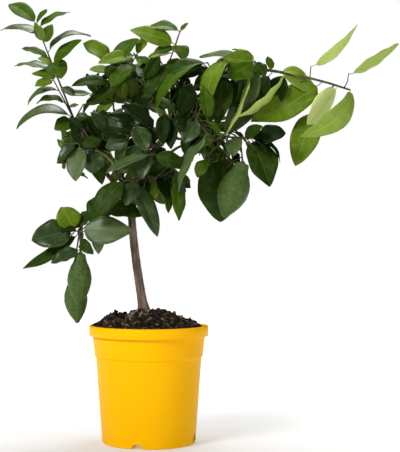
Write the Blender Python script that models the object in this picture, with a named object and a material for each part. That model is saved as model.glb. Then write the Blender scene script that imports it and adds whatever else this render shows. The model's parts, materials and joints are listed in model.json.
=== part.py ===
"""Potted lemon tree: a small citrus with green lemons, in a plain yellow nursery pot.

Origin: the centre of the pot's underside, on the floor. +Z is up and the viewer stands at -Y.
Sizes in this file are millimetres and degrees; MM turns them into metres as meshes are made.
Azimuth is 0 towards +X, 90 away from the viewer, 180 towards -X.
"""

import math
import random

import bmesh
import bpy
from mathutils import Quaternion, Vector
from mathutils.bvhtree import BVHTree

MM = 0.001
GAP = 0.3
UP = Vector((0.0, 0.0, 1.0))
VIEWER = Vector((0.0, -1.0, 0.0))
GOLDEN = 137.5
FLAT = 3.0
SHARP_EDGE = 35.0

# The pot: outside sizes of lip, band and wall, and its drain channels.
POT_SEGMENTS = 32
POT_HEIGHT = 186.0
LIP_RADIUS = 95.0
LIP_DEPTH = 16.4
LIP_SKIN = 1.8
LIP_TOP = 2.8
BAND_RADIUS = 89.7
BAND_FOOT_RADIUS = 86.4
BAND_FOOT = 138.6
WALL_HEAD_RADIUS = 84.2
WALL_HEAD = 134.6
FOOT_RADIUS = 74.4
WALL = 1.9
FLOOR = 2.2
CHANNELS = 4
CHANNEL_AZIMUTH = 256.0
CHANNEL_WIDTH = 18.0
CHANNEL_HEIGHT = 7.4
CHANNEL_SLANT = 1.6
CHANNEL_INNER = 26.0
DRAIN_RADIUS = 4.5
DRAIN_AT = 50.0
COVER_SKIN = 1.9
COVER_INNER = 24.0
COVER_OUTER = 73.4
HOLE_SIDES = 10

# The compost: heaped above the rim, level where the trunk stands.
SOIL_EDGE = 184.0
SOIL_CROWN = 209.5
SOIL_LEVEL_RADIUS = 14.0
SOIL_RINGS = 7
SOIL_DOME_POWER = 1.15
SOIL_RIM_POWER = 10
SOIL_LUMPS = (
    # x, y, height, spread
    (-68, -16, 10, 17),
    (-80, -4, 5, 10),
    (-52, -14, 6, 10),
    (-34, -8, -5, 11),
    (-36, 26, -8, 20),
    (14, -6, 5, 15),
    (24, 44, -5, 24),
    (52, 10, -3, 15),
    (66, -10, 6, 9),
    (46, -48, -2, 18),
    (-16, -60, 5, 16),
    (-62, 36, 2, 18),
)

# The trunk: the course of its middle line from the ground to the tip of the leader.
TRUNK_COURSE = (
    (-8.0, 0.0, 209.8),
    (-17.0, -1.0, 266.0),
    (-24.5, -2.5, 325.0),
    (-27.5, -4.0, 378.0),
    (-19.0, -2.0, 440.0),
    (-11.5, 0.0, 512.0),
)
TRUNK_RADIUS = 7.1
TRUNK_FORK_RADIUS = 6.1
TRUNK_TIP_RADIUS = 2.2
TRUNK_FORK = 378.0
FLARE = 3.6
FLARE_HEIGHT = 8.0
TRUNK_SIDES = 10
TRUNK_STATIONS = 13
TRUNK_STATION_POWER = 1.25
TRUNK_TIP_POWER = 0.6

# The boughs: where each leaves the trunk, how, where it ends, and its two radii.
BOUGHS = {
    # height, azimuth, rise, tip (x, y, z), azimuth and rise at the tip, radius, tip radius
    "low_left": (368, 200, 55, (-60, -24, 392), 195, -25, 3.6, 2.4),
    "left": (381, 172, 48, (-117, -6, 509), 180, 66, 4.4, 2.6),
    "shoulder": (392, 222, 30, (-84, -48, 456), 200, 15, 3.2, 2.0),
    "left_top": (422, 165, 58, (-56, 8, 532), 172, 70, 3.0, 1.9),
    "right_high": (428, 6, 52, (190, -6, 592), 0, -6, 3.9, 2.2),
    "right_low": (386, 345, 32, (112, -42, 482), 350, 22, 3.8, 2.2),
    "right_top": (448, 345, 42, (100, -28, 576), 2, 20, 2.8, 1.9),
    "low_front": (372, 318, 30, (6, -34, 418), 345, 10, 2.8, 1.9),
    "front": (398, 272, 34, (-8, -80, 462), 275, 5, 3.2, 2.0),
    "front_right": (412, 300, 38, (48, -72, 492), 310, 20, 3.0, 1.9),
    "back_left": (396, 128, 38, (-84, 78, 474), 140, 18, 3.4, 2.0),
    "back_right": (398, 48, 36, (66, 86, 486), 40, 18, 3.4, 2.0),
    "back": (454, 92, 50, (-14, 84, 548), 90, 30, 3.0, 1.9),
    "low_back": (376, 85, 25, (-8, 56, 424), 70, 10, 3.0, 1.9),
}
BOUGH_SIDES = 5
BOUGH_STATIONS = 7
BOUGH_HANDLE = 0.38
BOUGH_TAPER_POWER = 0.8

# Leaves and twigs.
LEAF_RATIO = 0.42
LEAF_KEEL = 14.0
PETIOLE_SHARE = 0.09
PETIOLE_RADIUS = 0.9
PETIOLE_DEPTH = 1.44
PETIOLE_FOLD = 0.3
LEAF_THICKNESS = 0.015
LEAF_THINNEST = 0.9
BLADE_BASE_POWER = 0.6
BLADE_TIP_POWER = 0.85
BLADE_SCALE = 2.67
BLADE_FIRST = 0.62
LEAF_SPACING = 10.5
LEAF_ROUNDS = 8
LEAF_FIRST_STATION = 0.1
LEAF_OPENING = (35, 80)
TIP_OPENING = (8, 40)
LEAF_ARCH = (10, 55)
LEAF_DROOP = 0.6
LEAF_TILT = 26
LIGHT_RISE = 0.6
LIGHT_SIDE = 0.5
SIZE_SPREAD = (0.75, 1.25)
SINK = 1.8
TWIG_SIDES = 3
TWIG_FIRST = 0.10
TWIG_ROOM = 0.88
TWIG_LIFT = 0.2
TWIG_BEND = (-10, 30)
STALK_BEND = 25
STALK_SUNK = 1.5
STEM_LEAD = 2.0
FRUIT_SIDES = 8
TWIG_RADIUS = 1.4
TWIG_TIP_RADIUS = 1.0
TWIG_OPENING = (46, 75)
STALK_RADII = (1.4, 1.2, 1.8)

# How the rule looks for room: the gap it keeps, the turn between tries, how a try shrinks.
CLEARANCE = 1.0
CLEAR_FROM = 0.14
LIMB_CLEARANCE = 0.6
TRIES = 10
TRY_TURN = 43
TRY_SHRINK = 0.96

# The masses of foliage. Each grows from a bough's tip (or the trunk's) by one stem.
# stem: reach x, y, z and bend. space: centre and half-sizes of the room it keeps to.
# twigs: count and length of the twigs grown by the rule. fill: most leaves by the rule.
# shoots: (parent, station, reach x, y, z, bend) for those that show against the sky.
# leaves: (shoot, station, reach x, y, z, arch, turn, width ratio) of those that do; turn is 0
# where the upper side faces the viewer, 90 where it faces up and 180 where it faces away.
# fruit: (shoot, station, stalk x, y, z, length, width, azimuth and lean of its end).
MASSES = {
    "shoots_left": {
        "bough": "left",
        "stem": (-62, -4, 157, 0),
        "radius": 2.0,
        "space": (-150, 0, 590, 95, 80, 120),
        "twigs": (0, 0),
        "leaf": 44,
        "fill": 0,
        "seed": 3,
        "shoots": ((0, 0.03, -32, -14, 62, 0), (0, 0.02, 14, 6, 27, 0)),
        "leaves": (
            (0, 1.00, -47, 20, 36, 56, 30, 0.44),
            (0, 1.00, 16, 8, 26, 20, 50, 0.52),
            (0, 0.94, 49, 10, 29, 56, 58, 0.46),
            (0, 0.88, -65, 8, 9, 62, 60, 0.44),
            (0, 0.81, -13, -12, 28, 15, 145, 0.56),
            (0, 0.80, 15, -12, 27, 10, 20, 0.60),
            (0, 0.70, 68, 16, 29, 82, 66, 0.46),
            (0, 0.58, 47, -10, 38, 46, 40, 0.40),
            (0, 0.64, -45, -6, 15, 42, 52, 0.40),
            (0, 0.58, -22, -14, 8, 40, 40, 0.56),
            (0, 0.50, -67, 10, 12, 60, 62, 0.40),
            (0, 0.45, -40, -12, 4, 40, 45, 0.52),
            (0, 0.60, 18, -30, -30, 40, 20, 0.72),
            (0, 0.57, 24, -20, 0, 30, 35, 0.50),
            (1, 0.98, -28, -14, -12, 28, 35, 0.56),
            (1, 0.71, -50, 2, -23, 90, 60, 0.42),
            (1, 0.38, -46, -12, -1, 90, 56, 0.42),
            (1, 0.04, -88, -14, -20, 94, 62, 0.43),
            (0, 0.36, 22, -14, -17, 30, 40, 0.56),
            (2, 0.45, 15, -6, -9, 15, 40, 0.66),
            (0, 0.02, -30, -16, -17, 50, 25, 0.70),
            (2, 1.00, 56, -8, 29, -24, 38, 0.40),
            (0, 0.31, 46, -4, -4, -10, 44, 0.34),
            (0, 0.16, 16, -4, 2, 10, 40, 0.50),
        ),
        "fruit": (),
    },
    "foliage_shoulder": {
        "bough": "shoulder",
        "stem": (-30, -12, 16, 10),
        "radius": 1.8,
        "space": (-94, -32, 466, 60, 54, 64),
        "twigs": (3, 36),
        "leaf": 56,
        "fill": 10,
        "seed": 5,
        "shoots": ((0, 0.04, 24, -6, 34, 0),),
        "leaves": (
            (0, 0.95, -24, -6, -26, 40, 35, 0.5),
            (0, 0.75, -5, -22, -58, 25, 20, 0.5),
            (0, 0.20, 6, -28, -37, 20, 10, 0.85),
            (0, 0.26, 20, -12, -54, 20, 30, 0.45),
            (1, 1.00, 24, -10, 34, 20, 25, 0.46),
            (1, 1.00, -26, -10, 28, 25, 25, 0.50),
            (1, 0.90, 38, -12, -22, 20, 20, 0.50),
            (1, 0.60, -30, -14, -12, 20, 20, 0.56),
        ),
        "fruit": (),
    },
    "foliage_left_top": {
        "bough": "left_top",
        "stem": (-4, -4, 76, 6),
        "radius": 1.7,
        "space": (-72, 20, 580, 62, 60, 66),
        "twigs": (4, 38),
        "leaf": 60,
        "fill": 12,
        "seed": 7,
        "shoots": ((0, 0.35, 38, -6, 60, 0),),
        "leaves": (
            (0, 1.00, -45, -4, 30, 40, 32, 0.56),
            (0, 0.95, 44, -10, 38, 30, 30, 0.46),
            (1, 0.98, 18, 2, 34, 15, 35, 0.48),
            (0, 0.80, -36, -10, 0, 30, 40, 0.5),
            (0, 0.52, -66, -16, -6, 62, 42, 0.36),
            (1, 0.75, -31, -30, -42, 40, 25, 0.48),
            (0, 0.22, -24, -26, -30, 12, 22, 0.38),
            (1, 0.97, -60, -20, -16, 30, 30, 0.38),
            (1, 0.90, 28, -8, -10, 30, 30, 0.46),
        ),
        "fruit": (),
    },
    "foliage_crown": {
        "bough": "trunk",
        "stem": (55, 2, 124, -10),
        "radius": 2.0,
        "space": (20, 20, 556, 68, 62, 68),
        "twigs": (5, 46),
        "leaf": 62,
        "fill": 20,
        "seed": 9,
        "shoots": ((0, 1.0, 8, 2, 23, 10),),
        "leaves": (
            (0, 1.00, -73, -12, 21, 26, 28, 0.42),
            (1, 0.90, -53, 8, 5, 76, 44, 0.46),
            (1, 1.00, 13, 0, 14, 20, 40, 0.45),
            (0, 0.99, 12, -16, -28, 30, 30, 0.82),
            (0, 0.96, -36, -8, -14, 40, 30, 0.42),
            (0, 0.88, -40, 10, -6, 30, 40, 0.36),
            (0, 0.78, -36, -24, -60, 24, 25, 0.43),
            (0, 0.60, 70, -22, 6, 30, 25, 0.40),
        ),
        "fruit": (),
    },
    "foliage_right_top": {
        "bough": "right_top",
        "stem": (68, -2, 26, 10),
        "radius": 1.7,
        "space": (124, 4, 554, 72, 66, 62),
        "twigs": (5, 44),
        "leaf": 66,
        "fill": 14,
        "seed": 13,
        "shoots": ((0, 0.05, -12, -10, 22, 0), (0, 0.40, 0, -10, 18, 0)),
        "leaves": (
            (0, 1.00, -52, -20, 4, 30, -30, 0.60),
            (0, 1.00, -36, 8, 20, 60, 70, 0.40),
            (0, 0.96, -86, 4, 8, 36, 58, 0.28),
            (2, 1.00, -36, -16, -76, 92, 45, 0.42),
            (0, 0.28, -12, -24, -84, 24, 20, 0.42),
            (0, 0.85, -40, -30, -116, -36, 75, 0.19),
            (0, 0.98, -14, 14, -78, 20, 15, 0.40),
            (0, 0.99, -44, -24, -30, 20, 15, 0.70),
            (1, 1.00, -80, -12, -72, 78, 60, 0.32),
            (1, 0.95, -74, 4, -29, 60, 40, 0.40),
            (0, 1.00, 14, -12, -26, 20, 20, 0.70),
        ),
        "fruit": (),
    },
    "shoots_right": {
        "bough": "right_high",
        "stem": (130, -4, -32, 12),
        "radius": 1.8,
        "space": (280, -6, 560, 130, 80, 125),
        "twigs": (0, 0),
        "leaf": 64,
        "fill": 0,
        "seed": 17,
        "shoots": (
            (0, 0.50, 2, 2, 20, 0),
            (0, 0.92, 8, 4, 24, -50),
            (0, 0.80, -30, 8, -38, 20),
        ),
        "leaves": (
            (0, 0.20, -76, -20, -72, -50, 110, 0.28),
            (0, 0.14, 46, 16, -10, 72, 42, 0.46),
            (0, 0.66, -116, -14, -66, -34, 28, 0.40),
            (0, 0.84, -52, -24, -64, -20, 125, 0.44),
            (0, 1.00, -82, -28, -76, 126, -32, 0.32),
            (3, 1.00, -34, -14, -93, 20, 12, 0.50),
            (1, 1.00, 75, 6, 69, -48, 112, 0.34),
            (2, 1.00, 82, 8, 51, -44, 112, 0.37),
            (0, 0.03, -4, 8, 24, 10, 30, 0.6),
            (0, 0.06, -76, 18, -100, 20, 20, 0.36),
            (0, 0.12, 66, 18, -34, 30, 30, 0.40),
            (0, 0.20, -24, 20, -58, 20, 20, 0.50),
        ),
        "fruit": (),
    },
    "foliage_centre": {
        "bough": "front",
        "stem": (16, -14, -12, 0),
        "radius": 1.8,
        "space": (-26, -66, 478, 64, 46, 62),
        "twigs": (5, 42),
        "leaf": 60,
        "fill": 13,
        "seed": 19,
        "shoots": ((0, 0.10, -14, -8, 36, 0),),
        "leaves": (
            (0, 1.00, -72, -8, -30, 26, 55, 0.32),
            (0, 1.00, 50, -8, -22, 24, 32, 0.50),
            (1, 1.00, 18, -14, -42, 20, 15, 0.6),
            (0, 0.10, -36, -12, -24, 20, 20, 0.55),
            (0, 0.30, -6, -16, -46, 20, 15, 0.50),
        ),
        "fruit": (),
    },
    "foliage_front_right": {
        "bough": "front_right",
        "stem": (26, -22, 10, 0),
        "radius": 1.8,
        "space": (60, -64, 506, 60, 48, 64),
        "twigs": (5, 42),
        "leaf": 62,
        "fill": 14,
        "seed": 23,
        "shoots": ((0, 0.05, -28, -6, 24, 0), (0, 0.92, 17, -6, -22, 0)),
        "leaves": (
            (2, 1.00, -44, -28, -88, 24, 66, 0.30),
            (1, 0.98, -2, -14, -50, 15, 15, 0.42),
            (1, 0.55, -1, -14, -48, 15, 20, 0.42),
            (0, 1.00, -20, -12, -36, 20, 15, 0.64),
        ),
        "fruit": (),
    },
    "lemon_right": {
        "bough": "right_low",
        "stem": (58, -6, -2, 0),
        "radius": 2.0,
        "space": (150, -24, 440, 70, 54, 74),
        "twigs": (2, 30),
        "leaf": 56,
        "fill": 3,
        "seed": 29,
        "shoots": ((0, 0.18, -4, 8, -28, 0), (0, 0.13, -32, -10, -36, 0)),
        "leaves": (
            (1, 1.00, -6, 4, -106, 20, 20, 0.66),
            (0, 0.80, 28, -6, -77, 20, 25, 0.60),
            (0, 0.80, 50, 4, 2, 20, 40, 0.46),
            (0, 1.00, 36, 6, -38, 70, 60, 0.3),
            (0, 0.95, 44, -12, 6, 30, 25, 0.66),
            (0, 0.62, 26, -30, 14, 20, 25, 0.46),
            (0, 0.40, -6, -26, -32, 30, 20, 0.60),
            (2, 1.00, -14, -6, -30, 20, 20, 0.60),
        ),
        "fruit": ((0, 0.50, 3, -22, -42, 90, 48, 180, 19),),
    },
    "hangers": {
        "bough": "low_front",
        "stem": (36, -6, 14, -10),
        "radius": 1.7,
        "space": (14, -24, 406, 60, 44, 56),
        "twigs": (3, 28),
        "leaf": 54,
        "fill": 6,
        "seed": 31,
        "shoots": ((0, 0.20, -52, -24, -8, 0),),
        "leaves": (
            (1, 0.75, 39, -8, -88, 20, 30, 0.31),
            (1, 1.00, -50, -8, -58, 50, 22, 0.44),
            (1, 0.62, -16, -20, -42, 20, 15, 0.50),
            (1, 0.50, -24, -18, 34, 20, 20, 0.50),
            (0, 0.55, 4, -4, -62, 15, 40, 0.32),
            (0, 0.95, 6, -6, -80, 15, 40, 0.35),
            (0, 1.00, 14, -4, -40, 15, 30, 0.4),
            (0, 0.10, 0, -16, -34, 20, 25, 0.50),
        ),
        "fruit": (),
    },
    "lemon_left": {
        "bough": "low_left",
        "stem": (-49, -16, -59, -20),
        "radius": 2.0,
        "space": (-115, -50, 290, 100, 60, 100),
        "twigs": (0, 0),
        "leaf": 54,
        "fill": 0,
        "seed": 37,
        "shoots": ((0, 1.0, -10, 4, 3, 0),),
        "leaves": (
            (1, 0.9, -21, 10, 37, 20, 24, 0.86),
            (1, 1.0, -66, -10, -16, 20, 20, 0.64),
            (0, 1.0, -88, -4, -57, -42, 55, 0.32),
            (2, 0.8, -44, -12, -22, 20, 35, 0.46),
            (0, 0.97, 82, -18, 0, 24, 22, 0.52),
            (0, 0.55, 6, -2, -58, 20, 30, 0.42),
            (0, 0.05, -28, -14, -38, 24, 20, 0.84),
            (0, 0.35, 66, -18, -12, 74, 34, 0.44),
        ),
        "fruit": ((0, 1.0, 2, -10, -34, 82, 37, 180, 2), (0, 1.0, -10, 22, -68, 78, 36, 180, -4)),
    },
    "foliage_back_left": {
        "bough": "back_left",
        "stem": (-26, 22, 12, 0),
        "radius": 1.8,
        "space": (-92, 84, 490, 66, 68, 74),
        "twigs": (5, 44),
        "leaf": 66,
        "fill": 19,
        "seed": 41,
        "shoots": (),
        "leaves": (),
        "fruit": (),
    },
    "foliage_back_right": {
        "bough": "back_right",
        "stem": (26, 22, 12, 0),
        "radius": 1.8,
        "space": (84, 92, 492, 68, 68, 74),
        "twigs": (5, 44),
        "leaf": 66,
        "fill": 19,
        "seed": 43,
        "shoots": (),
        "leaves": (),
        "fruit": (),
    },
    "foliage_back": {
        "bough": "back",
        "stem": (-4, 14, 30, 0),
        "radius": 1.8,
        "space": (-12, 96, 580, 64, 64, 64),
        "twigs": (5, 42),
        "leaf": 62,
        "fill": 18,
        "seed": 47,
        "shoots": (),
        "leaves": (),
        "fruit": (),
    },
    "foliage_low_back": {
        "bough": "low_back",
        "stem": (14, 20, 4, 0),
        "radius": 1.8,
        "space": (0, 76, 424, 70, 64, 54),
        "twigs": (4, 40),
        "leaf": 60,
        "fill": 16,
        "seed": 53,
        "shoots": (),
        "leaves": (),
        "fruit": (),
    },
}


# Directions and curves


def heading(azimuth, rise):
    """The unit direction at an azimuth and a rise above level."""
    flat = math.cos(math.radians(rise))
    turn = math.radians(azimuth)
    return Vector((flat * math.cos(turn), flat * math.sin(turn), math.sin(math.radians(rise))))


def bezier(first, first_way, last, last_way, count):
    """Points on a curve that leaves and arrives along the two given ways."""
    handle = BOUGH_HANDLE * (last - first).length
    second = first + first_way * handle
    third = last - last_way * handle
    points = []
    for index in range(count):
        t = index / (count - 1)
        s = 1.0 - t
        points.append(
            first * s**3 + second * 3 * s * s * t + third * 3 * s * t * t + last * t**3
        )
    return points


def along(points, share):
    """The point and the direction at a share of a line's length, a little short of its tip."""
    steps = [after - before for before, after in zip(points, points[1:])]
    total = sum(step.length for step in steps)
    left = min(max(share * total, SINK * 1.6), total - SINK)
    for point, step in zip(points, steps):
        if left <= step.length or step is steps[-1]:
            break
        left -= step.length
    return point + step.normalized() * min(left, step.length), step.normalized()


def course_point(course, share):
    """A smooth curve through a short list of points."""
    place = min(max(share, 0.0), 1.0) * (len(course) - 1)
    index = min(int(place), len(course) - 2)
    t = place - index
    p1, p2 = Vector(course[index]), Vector(course[index + 1])
    p0 = Vector(course[index - 1]) if index > 0 else p1 * 2 - p2
    p3 = Vector(course[index + 2]) if index + 2 < len(course) else p2 * 2 - p1
    return 0.5 * (
        p1 * 2 + (p2 - p0) * t + (p0 * 2 - p1 * 5 + p2 * 4 - p3) * t * t
        + (p1 * 3 - p0 - p2 * 3 + p3) * t**3
    )


def trunk_radius(height):
    """The trunk's radius at a height: flare, slow taper to the fork, quick taper above."""
    if height < TRUNK_FORK:
        share = (height - SOIL_CROWN) / (TRUNK_FORK - SOIL_CROWN)
        body = TRUNK_RADIUS + (TRUNK_FORK_RADIUS - TRUNK_RADIUS) * share
    else:
        share = (height - TRUNK_FORK) / (TRUNK_COURSE[-1][2] - TRUNK_FORK)
        body = TRUNK_FORK_RADIUS + (TRUNK_TIP_RADIUS - TRUNK_FORK_RADIUS) * share**TRUNK_TIP_POWER
    return body + FLARE * math.exp(-(height - SOIL_CROWN) / FLARE_HEIGHT)


def trunk_line():
    """The trunk's stations, closer together in the flare."""
    shares = [(index / TRUNK_STATIONS) ** TRUNK_STATION_POWER for index in range(TRUNK_STATIONS + 1)]
    points = [course_point(TRUNK_COURSE, share) for share in shares]
    return points, [trunk_radius(point.z) for point in points]


def trunk_at(height):
    """The point of the trunk's middle line at a height."""
    points, _ = trunk_line()
    for low, high in zip(points, points[1:]):
        if low.z <= height <= high.z:
            return low.lerp(high, (height - low.z) / (high.z - low.z))
    return points[-1].copy()


def bough_line(name):
    """A bough's stations and radii, from the trunk's middle line to its tip."""
    height, azimuth, rise, tip, tip_azimuth, tip_rise, radius, tip_radius = BOUGHS[name]
    points = bezier(
        trunk_at(height), heading(azimuth, rise), Vector(tip), heading(tip_azimuth, tip_rise),
        BOUGH_STATIONS,
    )
    last = BOUGH_STATIONS - 1
    radii = [
        radius + (tip_radius - radius) * (index / last) ** BOUGH_TAPER_POWER
        for index in range(last + 1)
    ]
    return points, radii


# Plain meshes, as lists of points and faces


def tube(points, radii, sides):
    """A closed round tube of changing radius along a line."""
    verts = []
    faces = []
    way = (points[1] - points[0]).normalized()
    across = way.orthogonal().normalized()
    for index, point in enumerate(points):
        before = points[max(index - 1, 0)]
        after = points[min(index + 1, len(points) - 1)]
        turned = (after - before).normalized()
        across = way.rotation_difference(turned) @ across
        way = turned
        across = (across - way * across.dot(way)).normalized()
        other = way.cross(across)
        for side in range(sides):
            angle = 2 * math.pi * side / sides
            verts.append(point + (across * math.cos(angle) + other * math.sin(angle)) * radii[index])
    for index in range(len(points) - 1):
        for side in range(sides):
            a = index * sides + side
            b = index * sides + (side + 1) % sides
            faces.append((a, b, b + sides, a + sides))
    faces.append(tuple(range(sides - 1, -1, -1)))
    top = (len(points) - 1) * sides
    faces.append(tuple(range(top, top + sides)))
    return verts, faces


def facing(reach, guide, turn):
    """The upper side's normal of a leaf: towards the guide, then turned round its own length."""
    chord = reach.normalized()
    normal = guide - chord * chord.dot(guide)
    if normal.length < 0.05:
        normal = chord.orthogonal()
    normal.normalize()
    side = chord.cross(normal)
    if (side.y if guide is UP else -side.z) > 0.0:
        side = -side
    return normal * math.cos(math.radians(turn)) + side * math.sin(math.radians(turn))


def arc_point(base, reach, arch, normal, share):
    """A point of an arch over a reach, and the direction square to it there."""
    bend = math.radians(arch)
    if abs(bend) < 0.02:
        return base + reach * share, normal.copy()
    chord = reach.normalized()
    radius = reach.length / (2 * math.sin(bend / 2))
    angle = bend / 2 - bend * share
    point = (
        base
        + chord * radius * (math.sin(bend / 2) - math.sin(angle))
        + normal * radius * (math.cos(angle) - math.cos(bend / 2))
    )
    return point, normal * math.cos(angle) - chord * math.sin(angle)


def half_width(share):
    """A blade's half width, as a share of its greatest, along the blade."""
    return BLADE_SCALE * share**BLADE_BASE_POWER * (1 - share) ** BLADE_TIP_POWER


def outward(point):
    """Away from the trunk, up and a little to the front: the way that a leaf turns for light."""
    away = Vector((point.x - TRUNK_COURSE[-1][0], point.y, 0.0))
    return away.normalized() + UP * LIGHT_RISE + VIEWER * LIGHT_SIDE


def leaf_mesh(leaf, stations, swell=0.0, start=0.0):
    """A thin closed leaf: stalk, keeled blade and tip. swell makes it larger for tests."""
    base, reach, arch, normal, width = leaf
    side = reach.normalized().cross(normal)
    thick = max(LEAF_THICKNESS * reach.length, LEAF_THINNEST) + swell
    keel = math.tan(math.radians(LEAF_KEEL))
    rows = [(start, PETIOLE_RADIUS + swell / 2, PETIOLE_DEPTH, PETIOLE_FOLD)]
    for index in range(stations):
        share = (index + BLADE_FIRST) / (stations - 1 + 2 * BLADE_FIRST)
        half = width / 2 * half_width(share) + swell
        rows.append((PETIOLE_SHARE + (1 - PETIOLE_SHARE) * share, half, thick, keel))
    verts = []
    faces = [(0, 1, 2)]
    for share, half, depth, fold in rows:
        point, out = arc_point(base, reach, arch, normal, share)
        lift = out * (half * fold)
        verts += [point - side * half + lift, point + side * half + lift, point - out * depth]
    for index in range(len(rows) - 1):
        for corner in range(3):
            a = 3 * index + corner
            b = 3 * index + (corner + 1) % 3
            faces += [(a, a + 3, b), (b, a + 3, b + 3)]
    tip, _ = arc_point(base, reach, arch, normal, 1.0)
    verts.append(tip)
    last = 3 * (len(rows) - 1)
    for corner in range(3):
        faces.append((last + corner, len(verts) - 1, last + (corner + 1) % 3))
    return verts, faces


LEMON_PROFILE = (
    # share of the length from the stalk, share of the half width
    (0.0, 0.28), (0.03, 0.42), (0.15, 0.54), (0.29, 0.83), (0.45, 1.0),
    (0.59, 0.98), (0.75, 0.76), (0.87, 0.48), (0.94, 0.27), (1.0, 0.12),
)


def fruit_mesh(fruit):
    """A lemon: necked at the stalk, round in the middle, with a nipple at its end."""
    top, way, length, width = fruit
    points = [top + way * (length * share) for share, _ in LEMON_PROFILE]
    return tube(points, [width / 2 * half for _, half in LEMON_PROFILE], FRUIT_SIDES)


# The growth rule


def shoot_line(start, reach, bend, count=2):
    """A shoot that covers its reach with a bend: it sags for a negative value."""
    normal = facing(reach, UP, 0)
    return [
        arc_point(start, reach, bend, normal, index / count)[0] for index in range(count + 1)
    ]


class Space:
    """The room a mass keeps to: its own ellipsoid, as far as no other claims it more."""

    def __init__(self, row):
        self.centre = Vector(row[:3])
        self.half = Vector(row[3:])

    def reach(self, point):
        off = point - self.centre
        return math.sqrt(sum((off[k] / self.half[k]) ** 2 for k in range(3)))


class Thicket:
    """Everything grown so far, so that what would touch it can be skipped."""

    def __init__(self):
        self.items = []

    def add(self, owner, verts, faces):
        low = Vector([min(v[k] for v in verts) for k in range(3)])
        high = Vector([max(v[k] for v in verts) for k in range(3)])
        self.items.append((owner, low, high, BVHTree.FromPolygons(verts, faces)))

    def touches(self, verts, faces, owner=None):
        """Whether the mesh cuts anything; owner's own things may be left out."""
        low = [min(v[k] for v in verts) for k in range(3)]
        high = [max(v[k] for v in verts) for k in range(3)]
        tree = None
        for other, other_low, other_high, other_tree in self.items:
            if owner is not None and other == owner:
                continue
            if any(low[k] > other_high[k] or high[k] < other_low[k] for k in range(3)):
                continue
            if tree is None:
                tree = BVHTree.FromPolygons(verts, faces)
            if tree.overlap(other_tree):
                return True
        return False


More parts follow.
